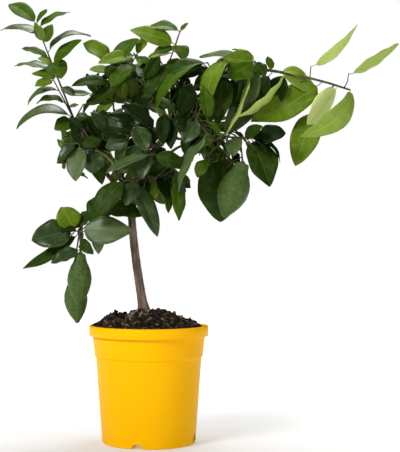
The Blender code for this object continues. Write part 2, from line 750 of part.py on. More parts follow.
class Growth:
    """The whole plant's plan: limbs, and each mass's twigs, leaves and fruit."""

    def __init__(self):
        self.thicket = Thicket()
        self.spaces = {name: Space(mass["space"]) for name, mass in MASSES.items()}
        self.trunk = trunk_line()
        self.boughs = {name: bough_line(name) for name in BOUGHS}
        self.twigs = {name: [] for name in MASSES}
        self.leaves = {name: [] for name in MASSES}
        self.fruit = {name: [] for name in MASSES}
        for line, radii in [self.trunk] + list(self.boughs.values()):
            self.thicket.add("limb", *tube(line, [r + LIMB_CLEARANCE for r in radii], BOUGH_SIDES))
        for name in MASSES:
            self.place_shoots(name)
        for name in MASSES:
            self.place_outline(name)
        for name in MASSES:
            self.grow_by_rule(name)

    def start_of(self, name):
        """Where a mass's stem starts: a hair beyond its bough's tip."""
        bough = MASSES[name]["bough"]
        line, _ = self.trunk if bough == "trunk" else self.boughs[bough]
        way = (line[-1] - line[-2]).normalized()
        return line[-1] + way * GAP, way

    def taper(self, line, thick=TWIG_RADIUS):
        """Radii that shrink evenly to a twig's tip."""
        last = len(line) - 1
        return [thick + (TWIG_TIP_RADIUS - thick) * k / last for k in range(last + 1)]

    def place_shoots(self, name):
        """A mass's stem, its named shoots, and its fruit on their stalks."""
        mass = MASSES[name]
        start, way = self.start_of(name)
        x, y, z, bend = mass["stem"]
        line = shoot_line(start, Vector((x, y, z)), bend, 4)
        line.insert(1, start + way * STEM_LEAD)
        self.twigs[name].append((line, self.taper(line, mass["radius"])))
        for parent, station, x, y, z, bend in mass["shoots"]:
            foot, _ = along(self.twigs[name][parent][0], station)
            line = shoot_line(foot, Vector((x, y, z)), bend)
            self.twigs[name].append((line, self.taper(line)))
        for line, radii in self.twigs[name]:
            self.thicket.add(name, *tube(line[1:], radii[1:], TWIG_SIDES))
        for shoot, station, x, y, z, length, width, azimuth, lean in mass["fruit"]:
            foot, _ = along(self.twigs[name][shoot][0], station)
            stalk = shoot_line(foot, Vector((x, y, z)), STALK_BEND)
            self.twigs[name].append((stalk, STALK_RADII))
            way = heading(azimuth, -90 + lean)
            fruit = (stalk[-1] - way * STALK_SUNK, way, length, width)
            self.fruit[name].append(fruit)
            self.thicket.add(name, *fruit_mesh(fruit))

    def place_outline(self, name):
        """The named leaves, but for one that would cut another mass."""
        for shoot, station, x, y, z, arch, turn, ratio in MASSES[name]["leaves"]:
            foot, _ = along(self.twigs[name][shoot][0], station)
            reach = Vector((x, y, z))
            leaf = (foot, reach, arch, facing(reach, VIEWER, turn), reach.length * ratio)
            if not self.thicket.touches(*leaf_mesh(leaf, 3, CLEARANCE, CLEAR_FROM), owner=name):
                self.leaves[name].append((leaf, 3))
                self.thicket.add(name, *leaf_mesh(leaf, 3, 0.0, CLEAR_FROM))

    def free(self, name, mesh, whole):
        """Whether a mesh keeps to its space and touches nothing; whole has its foot as well."""
        space = self.spaces[name]
        others = [other for key, other in self.spaces.items() if key != name]
        for vert in mesh[0]:
            own = space.reach(vert)
            if own > 1.0 or any(own > other.reach(vert) for other in others):
                return False
        return not (self.thicket.touches(*mesh) or self.thicket.touches(*whole, owner=name))

    def grow_by_rule(self, name):
        """Twigs round the stem a golden angle apart, and leaves round each twig."""
        mass = MASSES[name]
        dice = random.Random(mass["seed"])
        count, length = mass["twigs"]
        stem, _ = self.twigs[name][0]
        carriers = list(range(1 + len(mass["shoots"])))
        phase = dice.uniform(0, 360)
        for number in range(count):
            station = TWIG_FIRST + TWIG_ROOM * (number + dice.random() * 0.5) / count
            foot, way = along(stem, station)
            for attempt in range(TRIES):
                out = self.sideways(way, phase + GOLDEN * number + TRY_TURN * attempt)
                opening = math.radians(dice.uniform(*TWIG_OPENING))
                aim = (way * math.cos(opening) + out * math.sin(opening) + UP * TWIG_LIFT).normalized()
                reach = aim * (length * dice.uniform(*SIZE_SPREAD) * TRY_SHRINK**attempt)
                line = shoot_line(foot, reach, dice.uniform(*TWIG_BEND))
                radii = self.taper(line)
                mesh = tube(line[1:], [r + CLEARANCE for r in radii[1:]], TWIG_SIDES)
                if self.free(name, mesh, tube(line, radii, TWIG_SIDES)):
                    self.twigs[name].append((line, radii))
                    self.thicket.add(name, *tube(line[1:], radii[1:], TWIG_SIDES))
                    carriers.append(len(self.twigs[name]) - 1)
                    break
        self.leaf_out(name, carriers, dice)

    def sideways(self, way, around):
        """A direction square to a twig's, at a turn round it."""
        across = way.cross(UP)
        if across.length < 0.1:
            across = way.orthogonal()
        return Quaternion(way, math.radians(around)) @ across.normalized()

    def seeded_leaf(self, foot, way, turn, opening, size, dice):
        """A leaf at a turn round its twig, opened from it, drooping, with its face to the light."""
        bend = math.radians(opening)
        aim = way * math.cos(bend) + self.sideways(way, turn) * math.sin(bend)
        reach = (aim - UP * dice.uniform(0.0, LEAF_DROOP)).normalized() * size
        normal = facing(reach, outward(foot), dice.gauss(0, LEAF_TILT))
        return foot, reach, dice.uniform(*LEAF_ARCH), normal, size * LEAF_RATIO

    def leaf_out(self, name, carriers, dice):
        """Leaves on the twigs in turn, tip first, a golden angle apart up each."""
        mass = MASSES[name]
        phases = {carrier: dice.uniform(0, 360) for carrier in carriers}
        grown = 0
        for number in range(LEAF_ROUNDS):
            for carrier in carriers:
                line, _ = self.twigs[name][carrier]
                total = sum((b - a).length for a, b in zip(line, line[1:]))
                station = 1.0 - number * LEAF_SPACING / total
                if station < LEAF_FIRST_STATION or grown >= mass["fill"]:
                    continue
                foot, way = along(line, station)
                for attempt in range(TRIES):
                    turn = phases[carrier] + GOLDEN * number + TRY_TURN * attempt
                    size = mass["leaf"] * dice.uniform(*SIZE_SPREAD) * TRY_SHRINK**attempt
                    opening = dice.uniform(*(LEAF_OPENING if number else TIP_OPENING))
                    leaf = self.seeded_leaf(foot, way, turn, opening, size, dice)
                    swollen = leaf_mesh(leaf, 2, CLEARANCE, CLEAR_FROM)
                    if self.free(name, swollen, leaf_mesh(leaf, 2)):
                        self.leaves[name].append((leaf, 2))
                        self.thicket.add(name, *leaf_mesh(leaf, 2, 0.0, CLEAR_FROM))
                        grown += 1
                        break


# Objects, materials and joins


def linear(code):
    """A colour in linear light from its sRGB hex code."""
    channels = [int(code[k : k + 2], 16) / 255 for k in (1, 3, 5)]
    return [c / 12.92 if c <= 0.04045 else ((c + 0.055) / 1.055) ** 2.4 for c in channels]


def make_material(name, code, roughness):
    material = bpy.data.materials.new(name)
    material.use_nodes = True
    shader = material.node_tree.nodes["Principled BSDF"]
    shader.inputs["Base Color"].default_value = (*linear(code), 1.0)
    shader.inputs["Roughness"].default_value = roughness
    shader.inputs["Metallic"].default_value = 0.0
    return material


def make_object(name, verts, faces, collection=None):
    """An object in metres from a mesh in millimetres."""
    mesh = bpy.data.meshes.new(name)
    mesh.from_pydata([vert * MM for vert in verts], [], faces)
    mesh.update()
    thing = bpy.data.objects.new(name, mesh)
    (collection or bpy.context.scene.collection).objects.link(thing)
    return thing


def join(thing, others, operation):
    """One Boolean of an object with a collection of others, applied; the others then go."""
    boolean = thing.modifiers.new(operation.lower(), "BOOLEAN")
    boolean.operation = operation
    boolean.operand_type = "COLLECTION"
    boolean.collection = others
    boolean.solver = "EXACT"
    depsgraph = bpy.context.evaluated_depsgraph_get()
    joined = bmesh.new()
    joined.from_object(thing, depsgraph)
    bmesh.ops.dissolve_limit(
        joined, angle_limit=math.radians(FLAT), verts=joined.verts, edges=joined.edges
    )
    bmesh.ops.triangulate(joined, faces=joined.faces)
    thing.modifiers.clear()
    joined.to_mesh(thing.data)
    joined.free()
    for other in list(others.objects):
        bpy.data.objects.remove(other)
    bpy.data.collections.remove(others)


def group(name):
    """An empty collection for the pieces of one Boolean."""
    collection = bpy.data.collections.new(name)
    bpy.context.scene.collection.children.link(collection)
    return collection


def finish(thing, material, smooth):
    """The material, and smooth shading for a round piece."""
    thing.data.materials.clear()
    thing.data.materials.append(material)
    if smooth:
        thing.data.shade_smooth()
        thing.data.set_sharp_from_angle(angle=math.radians(SHARP_EDGE))


def keep_largest(thing):
    """Drops loose scraps and the shells of sealed hollows: only the largest body stays."""
    body = bmesh.new()
    body.from_mesh(thing.data)
    unseen = set(body.verts)
    shells = []
    while unseen:
        shell = {unseen.pop()}
        front = list(shell)
        while front:
            vert = front.pop()
            for edge in vert.link_edges:
                other = edge.other_vert(vert)
                if other in unseen:
                    unseen.remove(other)
                    shell.add(other)
                    front.append(other)
        shells.append(shell)
    shells.sort(key=len, reverse=True)
    for shell in shells[1:]:
        bmesh.ops.delete(body, geom=list(shell), context="VERTS")
    body.to_mesh(thing.data)
    body.free()


# The pot


def turned(profile, segments):
    """A closed turned body; the profile starts and ends on the axis and runs round the outside."""
    verts = []
    rows = []
    for radius, height in profile:
        if radius == 0.0:
            rows.append([len(verts)])
            verts.append(Vector((0.0, 0.0, height)))
            continue
        rows.append(list(range(len(verts), len(verts) + segments)))
        for segment in range(segments):
            turn = 2 * math.pi * segment / segments
            verts.append(Vector((radius * math.cos(turn), radius * math.sin(turn), height)))
    return verts, skin(rows)


def skin(rows):
    """Faces between rings of points; a row of one point is a pole."""
    faces = []
    for low, high in zip(rows, rows[1:]):
        count = max(len(low), len(high))
        for k in range(count):
            n = (k + 1) % count
            if len(low) == 1:
                faces.append((low[0], high[n], high[k]))
            elif len(high) == 1:
                faces.append((low[k], low[n], high[0]))
            else:
                faces.append((low[k], low[n], high[n], high[k]))
    return faces


def pot_profile():
    """The pot's section: underside, wall, band, hollow lip, and back down the inside."""
    lip_foot = POT_HEIGHT - LIP_DEPTH
    skirt = LIP_RADIUS - LIP_SKIN
    lip_under = POT_HEIGHT - LIP_TOP
    return [
        (0.0, 0.0),
        (FOOT_RADIUS - 1.8, 0.0),
        (FOOT_RADIUS - 0.1, 1.6),
        (WALL_HEAD_RADIUS, WALL_HEAD),
        (BAND_FOOT_RADIUS - 0.4, BAND_FOOT - 1.8),
        (BAND_FOOT_RADIUS, BAND_FOOT),
        (BAND_RADIUS, lip_foot - 0.6),
        (BAND_RADIUS + 0.5, lip_under),
        (skirt, lip_under),
        (skirt, lip_foot),
        (LIP_RADIUS, lip_foot + 0.6),
        (LIP_RADIUS, POT_HEIGHT - 1.5),
        (LIP_RADIUS - 1.5, POT_HEIGHT),
        (BAND_RADIUS - 0.4, POT_HEIGHT),
    ] + inner_profile(0.0)


def inner_profile(gap):
    """The inside of the wall and floor, top to bottom, or a line a gap inside it."""
    points = [
        (BAND_RADIUS - 1.7, POT_HEIGHT - 1.8),
        (BAND_FOOT_RADIUS - WALL, BAND_FOOT + 0.4),
        (WALL_HEAD_RADIUS - 1.6, WALL_HEAD + 2.0),
        (WALL_HEAD_RADIUS - WALL, WALL_HEAD - 0.6),
        (FOOT_RADIUS - WALL, 4.0),
        (FOOT_RADIUS - WALL - 1.7, 2.4),
        (0.0, FLOOR),
    ]
    return [(max(radius - gap, 0.0), height + gap) for radius, height in points]


def channel(number, wall, inner, outer, base):
    """A drain channel's solid, or its cover's: a tapered bar that runs out from the middle."""
    turn = math.radians(CHANNEL_AZIMUTH + 360.0 / CHANNELS * number)
    out = Vector((math.cos(turn), math.sin(turn), 0.0))
    side = Vector((-out.y, out.x, 0.0))
    foot = CHANNEL_WIDTH / 2 + wall
    roof = CHANNEL_WIDTH / 2 - CHANNEL_SLANT + wall * 0.8
    top = CHANNEL_HEIGHT + wall
    verts = []
    for radius in (inner, outer):
        for across, height in ((-foot, base), (foot, base), (roof, top), (-roof, top)):
            verts.append(out * radius + side * across + UP * height)
    faces = [(3, 2, 1, 0), (4, 5, 6, 7), (1, 5, 4, 0), (2, 6, 5, 1), (3, 7, 6, 2), (0, 4, 7, 3)]
    return verts, faces


def drain_hole(number):
    """A short round plug through the roof of a channel."""
    turn = math.radians(CHANNEL_AZIMUTH + 360.0 / CHANNELS * number)
    foot = Vector((math.cos(turn), math.sin(turn), 0.0)) * DRAIN_AT
    ends = [foot + UP * height for height in (CHANNEL_HEIGHT - 2.0, CHANNEL_HEIGHT + 4.0)]
    return tube(ends, [DRAIN_RADIUS] * 2, HOLE_SIDES)


def build_pot():
    pot = make_object("pot", *turned(pot_profile(), POT_SEGMENTS))
    covers = group("covers")
    tunnels = group("tunnels")
    holes = group("holes")
    for number in range(CHANNELS):
        cover = channel(number, COVER_SKIN, COVER_INNER, COVER_OUTER, 0.3)
        tunnel = channel(number, 0.0, CHANNEL_INNER, LIP_RADIUS, -2.0)
        make_object("cover", *cover, covers)
        make_object("tunnel", *tunnel, tunnels)
        make_object("hole", *drain_hole(number), holes)
    join(pot, covers, "UNION")
    join(pot, tunnels, "DIFFERENCE")
    join(pot, holes, "DIFFERENCE")
    finish(pot, make_material("yellow_polypropylene", "#fabc09", 0.38), True)


# The compost


def soil_height(x, y):
    """The heap's height: a dome that drops to the rim, with lumps."""
    share = min(math.hypot(x, y) / soil_rim_radius(), 1.0)
    height = SOIL_EDGE + (SOIL_CROWN - SOIL_EDGE) * (1.0 - share * share) ** SOIL_DOME_POWER
    fade = 1.0 - share**SOIL_RIM_POWER
    for lump_x, lump_y, lift, spread in SOIL_LUMPS:
        away = math.hypot(x - lump_x, y - lump_y) / spread
        height += fade * lift * math.exp(-away * away)
    return height


def soil_rim_radius():
    """The radius at which the heap meets the pot's wall."""
    (high_radius, high), (low_radius, low) = inner_profile(GAP)[:2]
    return low_radius + (high_radius - low_radius) * (SOIL_EDGE - low) / (high - low)


def build_soil():
    """A solid that fills the pot, with a level place where the trunk stands."""
    foot = Vector(TRUNK_COURSE[0])
    verts = []
    rows = []
    for radius, height in reversed(inner_profile(GAP)[1:]):
        if radius == 0.0:
            rows.append([len(verts)])
            verts.append(Vector((0.0, 0.0, height)))
            continue
        rows.append(list(range(len(verts), len(verts) + POT_SEGMENTS)))
        for segment in range(POT_SEGMENTS):
            turn = 2 * math.pi * segment / POT_SEGMENTS
            verts.append(Vector((radius * math.cos(turn), radius * math.sin(turn), height)))
    for ring in range(SOIL_RINGS):
        share = 1.0 - ring / (SOIL_RINGS - 1)
        radius = SOIL_LEVEL_RADIUS + (soil_rim_radius() - SOIL_LEVEL_RADIUS) * share
        rows.append(list(range(len(verts), len(verts) + POT_SEGMENTS)))
        for segment in range(POT_SEGMENTS):
            turn = 2 * math.pi * segment / POT_SEGMENTS
            x = foot.x * (1.0 - share) + radius * math.cos(turn)
            y = foot.y * (1.0 - share) + radius * math.sin(turn)
            height = soil_height(x, y) if share > 0.0 else SOIL_CROWN
            verts.append(Vector((x, y, height)))
    rows.append([len(verts)])
    verts.append(Vector((foot.x, foot.y, SOIL_CROWN)))
    soil = make_object("potting_mix", verts, skin(rows))
    covers = group("covers")
    for number in range(CHANNELS):
        cover = channel(number, COVER_SKIN + GAP, COVER_INNER - GAP, LIP_RADIUS, 0.0)
        make_object("cover", *cover, covers)
    join(soil, covers, "DIFFERENCE")
    finish(soil, make_material("peat_compost", "#3a2d24", 0.95), False)


# The plant


def build_trunk(growth):
    verts, faces = tube(*growth.trunk, TRUNK_SIDES)
    for vert in verts[:TRUNK_SIDES]:
        vert.z = TRUNK_COURSE[0][2]
    trunk = make_object("trunk", verts, faces)
    finish(trunk, make_material("grey_brown_bark", "#56473a", 0.85), True)


def build_boughs(growth):
    """Each bough is one limb, its root shaped to the trunk's side."""
    bark = make_material("green_brown_bark", "#4c4a30", 0.75)
    line, radii = growth.trunk
    for name, (points, widths) in growth.boughs.items():
        bough = make_object("bough_" + name, *tube(points, widths, BOUGH_SIDES))
        socket = group("socket")
        make_object("socket", *tube(line, [radius + GAP for radius in radii], TRUNK_SIDES), socket)
        join(bough, socket, "DIFFERENCE")
        keep_largest(bough)
        finish(bough, bark, True)


def build_mass(growth, name, material):
    """Twigs, leaves and fruit fused into one solid."""
    (line, radii), *twigs = growth.twigs[name]
    mass = make_object(name, *tube(line, radii, TWIG_SIDES + 1))
    pieces = group("pieces")
    for line, radii in twigs:
        make_object("twig", *tube(line, radii, TWIG_SIDES), pieces)
    for leaf, stations in growth.leaves[name]:
        make_object("leaf", *leaf_mesh(leaf, stations), pieces)
    for fruit in growth.fruit[name]:
        make_object("fruit", *fruit_mesh(fruit), pieces)
    join(mass, pieces, "UNION")
    keep_largest(mass)
    finish(mass, material, False)


def main():
    for thing in list(bpy.data.objects):
        bpy.data.objects.remove(thing)
    growth = Growth()
    build_pot()
    build_soil()
    build_trunk(growth)
    build_boughs(growth)
    leaf_green = make_material("citrus_leaf", "#3f5f16", 0.42)
    for name in MASSES:
        build_mass(growth, name, leaf_green)


if __name__ == "__main__":
    main()
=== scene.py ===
"""Potted lemon tree: the looks of every surface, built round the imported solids.

Sizes are millimetres and degrees, as in the part's source; MM turns them into metres as meshes
are made. The viewer of the photograph stands at -Y, and +X is to their right.
"""

import json
import math
import random

import bmesh
import bpy
from mathutils import Matrix, Quaternion, Vector, noise
from mathutils.bvhtree import BVHTree

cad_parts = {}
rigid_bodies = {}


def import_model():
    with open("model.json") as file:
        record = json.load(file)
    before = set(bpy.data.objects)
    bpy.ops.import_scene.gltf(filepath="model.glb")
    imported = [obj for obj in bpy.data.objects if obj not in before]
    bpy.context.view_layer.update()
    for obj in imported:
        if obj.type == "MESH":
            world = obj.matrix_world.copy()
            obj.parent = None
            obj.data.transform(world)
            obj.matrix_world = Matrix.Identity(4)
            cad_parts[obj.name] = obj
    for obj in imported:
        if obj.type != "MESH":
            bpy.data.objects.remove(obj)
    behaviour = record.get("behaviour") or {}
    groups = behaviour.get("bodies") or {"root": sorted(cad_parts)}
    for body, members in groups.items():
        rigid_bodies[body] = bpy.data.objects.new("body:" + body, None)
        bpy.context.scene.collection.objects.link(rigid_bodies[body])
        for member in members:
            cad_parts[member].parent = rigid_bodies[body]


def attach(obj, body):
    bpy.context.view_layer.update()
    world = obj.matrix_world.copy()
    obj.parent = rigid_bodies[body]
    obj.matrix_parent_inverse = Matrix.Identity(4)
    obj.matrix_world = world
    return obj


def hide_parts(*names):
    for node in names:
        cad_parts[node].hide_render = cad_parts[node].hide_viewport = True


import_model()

MM = 0.001
UP = Vector((0.0, 0.0, 1.0))
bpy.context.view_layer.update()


# The pot: a round nursery pot, injection moulded in yellow polypropylene. A hollow lip with a
# downturned skirt stiffens its mouth, a wider band runs under the lip, and four radial drain
# channels are moulded into its underside. It stands on the floor by its own weight.

POT_SEGMENTS = 144
POT_HEIGHT = 186.0
LIP_RADIUS = 95.0
LIP_DEPTH = 16.4
LIP_SKIN = 1.8
LIP_TOP = 2.8
BAND_RADIUS = 89.7
BAND_FOOT_RADIUS = 86.4
BAND_FOOT = 138.6
WALL_HEAD_RADIUS = 84.2
WALL_HEAD = 134.6
FOOT_RADIUS = 74.4
WALL = 1.9
CHANNELS = 4
CHANNEL_AZIMUTH = 256.0
CHANNEL_WIDTH = 18.0
CHANNEL_HEIGHT = 7.4
CHANNEL_SLANT = 1.6


def linear(code):
    """A colour in linear light from its sRGB hex code."""
    channels = [int(code[k : k + 2], 16) / 255 for k in (1, 3, 5)]
    return (*[c / 12.92 if c <= 0.04045 else ((c + 0.055) / 1.055) ** 2.4 for c in channels], 1.0)


def add(tree, kind, links=None, **settings):
    """Adds a node with its settings; links gives its inputs a value or another node's output."""
    made = tree.nodes.new(kind)
    for key, value in settings.items():
        setattr(made, key, value)
    for key, value in (links or {}).items():
        if isinstance(value, bpy.types.NodeSocket):
            tree.links.new(value, made.inputs[key])
        else:
            made.inputs[key].default_value = value
    return made


def finish(name, code, roughness, **sockets):
    """A Principled material with its plain settings on the shader's own sockets."""
    material = bpy.data.materials.new(name)
    material.use_nodes = True
    shader = material.node_tree.nodes["Principled BSDF"]
    shader.inputs["Base Color"].default_value = linear(code)
    shader.inputs["Roughness"].default_value = roughness
    for key, value in sockets.items():
        shader.inputs[key.replace("_", " ")].default_value = value
    return material, material.node_tree, shader


def ramp(tree, factor, *stops):
    """A colour ramp with stops of (place, hex colour)."""
    made = add(tree, "ShaderNodeValToRGB", {"Fac": factor})
    elements = made.color_ramp.elements
    while len(elements) < len(stops):
        elements.new(0.5)
    for element, (place, code) in zip(elements, stops):
        element.position = place
        element.color = linear(code)
    return made.outputs["Color"]


def mottle(tree, millimetres, detail=4.0, stretch=(1.0, 1.0, 1.0), roughness=0.55):
    """Noise whose grains are that many millimetres across, in the object's own space."""
    place = add(tree, "ShaderNodeTexCoord").outputs["Object"]
    scaled = add(tree, "ShaderNodeMapping", {"Vector": place, "Scale": stretch}).outputs["Vector"]
    grain = add(
        tree, "ShaderNodeTexNoise",
        {"Vector": scaled, "Scale": 1000.0 / millimetres, "Detail": detail, "Roughness": roughness},
    )
    return grain.outputs["Fac"]


def relief(tree, shader, height, millimetres):
    """Bump of that many millimetres on the shader."""
    bump = add(
        tree, "ShaderNodeBump",
        {"Height": height, "Strength": 1.0, "Distance": millimetres * MM},
    )
    tree.links.new(bump.outputs["Normal"], shader.inputs["Normal"])


def put(name, verts, faces, materials, smooth=True, slots=None):
    """An object in metres from a mesh in millimetres."""
    mesh = bpy.data.meshes.new(name)
    mesh.from_pydata([vert * MM for vert in verts], [], faces)
    for material in materials:
        mesh.materials.append(material)
    if slots:
        mesh.polygons.foreach_set("material_index", slots)
    mesh.update()
    if smooth:
        mesh.shade_smooth()
    thing = bpy.data.objects.new(name, mesh)
    bpy.context.scene.collection.objects.link(thing)
    return thing


def skin(rows):
    """Faces between rings of points; a row of one point is a pole."""
    faces = []
    for low, high in zip(rows, rows[1:]):
        count = max(len(low), len(high))
        for k in range(count):
            n = (k + 1) % count
            if len(low) == 1:
                faces.append((low[0], high[n], high[k]))
            elif len(high) == 1:
                faces.append((low[k], low[n], high[0]))
            else:
                faces.append((low[k], low[n], high[n], high[k]))
    return faces


def turned(profile, segments):
    """A closed turned body; the profile starts and ends on the axis and runs round the outside."""
    verts = []
    rows = []
    for radius, height in profile:
        count = segments if radius > 0.0 else 1
        rows.append(list(range(len(verts), len(verts) + count)))
        for segment in range(count):
            turn = 2 * math.pi * segment / segments
            verts.append(Vector((radius * math.cos(turn), radius * math.sin(turn), height)))
    return verts, skin(rows)


def inner_profile():
    """The inside of the wall and floor, top to bottom."""
    return [
        (BAND_RADIUS - 1.7, POT_HEIGHT - 1.8),
        (BAND_FOOT_RADIUS - WALL, BAND_FOOT + 0.4),
        (WALL_HEAD_RADIUS - 1.6, WALL_HEAD + 2.0),
        (WALL_HEAD_RADIUS - WALL, WALL_HEAD - 0.6),
        (FOOT_RADIUS - WALL, 9.6),
        (0.0, 9.6),
    ]


def pot_profile():
    """The pot's section with its rounded edges: foot, wall, band, lip and inside."""
    lip_foot = POT_HEIGHT - LIP_DEPTH
    skirt = LIP_RADIUS - LIP_SKIN
    lip_under = POT_HEIGHT - LIP_TOP
    rows = [
        (0.0, 0.0),
        (FOOT_RADIUS - 2.2, 0.0),
        (FOOT_RADIUS - 1.1, 0.3),
        (FOOT_RADIUS - 0.4, 1.0),
        (FOOT_RADIUS - 0.1, 2.0),
    ]
    for step in range(1, 7):
        share = step / 7
        rows.append((
            FOOT_RADIUS - 0.1 + (WALL_HEAD_RADIUS - FOOT_RADIUS + 0.1) * share,
            2.0 + (WALL_HEAD - 2.4) * share,
        ))
    rows += [
        (WALL_HEAD_RADIUS, WALL_HEAD - 0.4),
        (WALL_HEAD_RADIUS + 0.2, WALL_HEAD + 0.6),
        (WALL_HEAD_RADIUS + 0.8, WALL_HEAD + 1.4),
        (BAND_FOOT_RADIUS - 0.8, BAND_FOOT - 2.0),
        (BAND_FOOT_RADIUS - 0.2, BAND_FOOT - 1.0),
        (BAND_FOOT_RADIUS, BAND_FOOT),
        (BAND_RADIUS, lip_foot - 0.6),
        (BAND_RADIUS + 0.5, lip_under),
        (skirt, lip_under),
        (skirt, lip_foot + 0.5),
        (skirt + 0.5, lip_foot),
        (LIP_RADIUS - 0.5, lip_foot + 0.1),
        (LIP_RADIUS, lip_foot + 0.8),
        (LIP_RADIUS, POT_HEIGHT - 2.0),
        (LIP_RADIUS - 0.4, POT_HEIGHT - 0.8),
        (LIP_RADIUS - 1.3, POT_HEIGHT - 0.1),
        (LIP_RADIUS - 2.4, POT_HEIGHT),
        (BAND_RADIUS - 0.2, POT_HEIGHT),
        (BAND_RADIUS - 1.2, POT_HEIGHT - 0.5),
    ]
    return rows + inner_profile()


def cut_channels(pot):
    """The drain channels: one Boolean takes a tapered bar from the underside at each."""
    bars = bpy.data.collections.new("channels")
    bpy.context.scene.collection.children.link(bars)
    for number in range(CHANNELS):
        turn = math.radians(CHANNEL_AZIMUTH + 360.0 / CHANNELS * number)
        out = Vector((math.cos(turn), math.sin(turn), 0.0))
        side = Vector((-out.y, out.x, 0.0))
        foot = CHANNEL_WIDTH / 2
        roof = foot - CHANNEL_SLANT
        verts = []
        for radius in (26.0, LIP_RADIUS):
            for across, height in (
                (-foot - 0.4, -2.0), (foot + 0.4, -2.0), (roof, CHANNEL_HEIGHT - 1.2),
                (roof - 1.4, CHANNEL_HEIGHT), (1.4 - roof, CHANNEL_HEIGHT), (-roof, CHANNEL_HEIGHT - 1.2),
            ):
                verts.append(out * radius + side * across + UP * height)
        faces = [(5, 4, 3, 2, 1, 0), (6, 7, 8, 9, 10, 11)]
        faces += [(k, (k + 1) % 6, 6 + (k + 1) % 6, 6 + k)[::-1] for k in range(6)]
        bar = put("channel_bar", verts, faces, [], False)
        bpy.context.scene.collection.objects.unlink(bar)
        bars.objects.link(bar)
    cut = pot.modifiers.new("channels", "BOOLEAN")
    cut.operation = "DIFFERENCE"
    cut.operand_type = "COLLECTION"
    cut.collection = bars
    cut.solver = "EXACT"
    graph = bpy.context.evaluated_depsgraph_get()
    pot.data = bpy.data.meshes.new_from_object(pot.evaluated_get(graph))
    pot.modifiers.clear()
    for bar in list(bars.objects):
        bpy.data.objects.remove(bar)
    bpy.data.collections.remove(bars)
    pot.data.shade_smooth()
    pot.data.set_sharp_from_angle(angle=math.radians(38))


# Polypropylene, moulded: an even, slightly waxy sheen with a fine texture from the tool, a little
# unevenness of colour, and a roughness that changes a little from place to place.
plastic, tree, shader = finish(
    "moulded_polypropylene", "#fcb900", 0.42, IOR=1.49, Specular_IOR_Level=0.05
)
shade = ramp(tree, mottle(tree, 90.0, 2.0), (0.3, "#fbb600"), (0.7, "#fdbc00"))
tree.links.new(shade, shader.inputs["Base Color"])
wear = mottle(tree, 6.0, 5.0)
rough = add(
    tree, "ShaderNodeMapRange",
    {"Value": wear, "From Min": 0.3, "From Max": 0.7, "To Min": 0.36, "To Max": 0.46},
)
tree.links.new(rough.outputs["Result"], shader.inputs["Roughness"])
relief(tree, shader, mottle(tree, 1.2, 2.0), 0.03)

pot = put("pot_moulding", *turned(pot_profile(), POT_SEGMENTS), [plastic])
cut_channels(pot)
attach(pot, "root")
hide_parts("pot")


# The compost: peat and composted bark, pressed round the roots and heaped above the rim. It is
# moist, dark and crumbly, with coarse lumps and chips of bark lying loose on it.

SOIL_EDGE = 184.0
SOIL_CROWN = 209.5
SOIL_LEVEL_RADIUS = 14.0
SOIL_SEGMENTS = 220
SOIL_RINGS = 80
SOIL_GAP = 0.3
TRUNK_FOOT = Vector((-8.0, 0.0, 209.8))
SOIL_LUMPS = (
    # x, y, height, spread
    (-68, -16, 10, 17),
    (-80, -4, 5, 10),
    (-52, -14, 6, 10),
    (-34, -8, -5, 11),
    (-36, 26, -8, 20),
    (14, -6, 5, 15),
    (24, 44, -5, 24),
    (52, 10, -3, 15),
    (66, -10, 6, 9),
    (46, -48, -2, 18),
    (-16, -60, 5, 16),
    (-62, 36, 2, 18),
)
CRUMBS = 1300
CLODS = 170
CHIPS = 150
DUSTY = 130
DUSTY_PLACE = (-19.0, -24.0, 9.0)


def soil_rim_radius():
    """The radius at which the heap meets the pot's wall."""
    (high_radius, high), (low_radius, low) = inner_profile()[:2]
    return low_radius + (high_radius - low_radius) * (SOIL_EDGE - low) / (high - low) - SOIL_GAP


def soil_height(x, y):
    """The heap's height: a dome that drops to the rim, with lumps, level at the trunk's foot."""
    share = min(math.hypot(x, y) / soil_rim_radius(), 1.0)
    height = SOIL_EDGE + (SOIL_CROWN - SOIL_EDGE) * (1.0 - share * share) ** 1.15
    fade = 1.0 - share**10
    for lump_x, lump_y, lift, spread in SOIL_LUMPS:
        away = math.hypot(x - lump_x, y - lump_y) / spread
        height += fade * lift * math.exp(-away * away)
    near = math.hypot(x - TRUNK_FOOT.x, y - TRUNK_FOOT.y)
    level = min(max((near - SOIL_LEVEL_RADIUS) / 14.0, 0.0), 1.0)
    return SOIL_CROWN + (height - SOIL_CROWN) * level * level * (3 - 2 * level)


def crumble(x, y):
    """Relief of the crumbs: three sizes of lumps, sunk between."""
    place = Vector((x, y, 0.0))
    coarse = 1.6 * noise.noise(place / 13.0) + noise.noise(place / 6.0)
    cells = noise.voronoi(place / 8.0, distance_metric="DISTANCE", exponent=2.5)[0]
    return 1.2 * coarse + 0.6 * noise.noise(place / 2.6) + 3.2 * (0.3 - min(cells[0] * 1.3, 1.0))


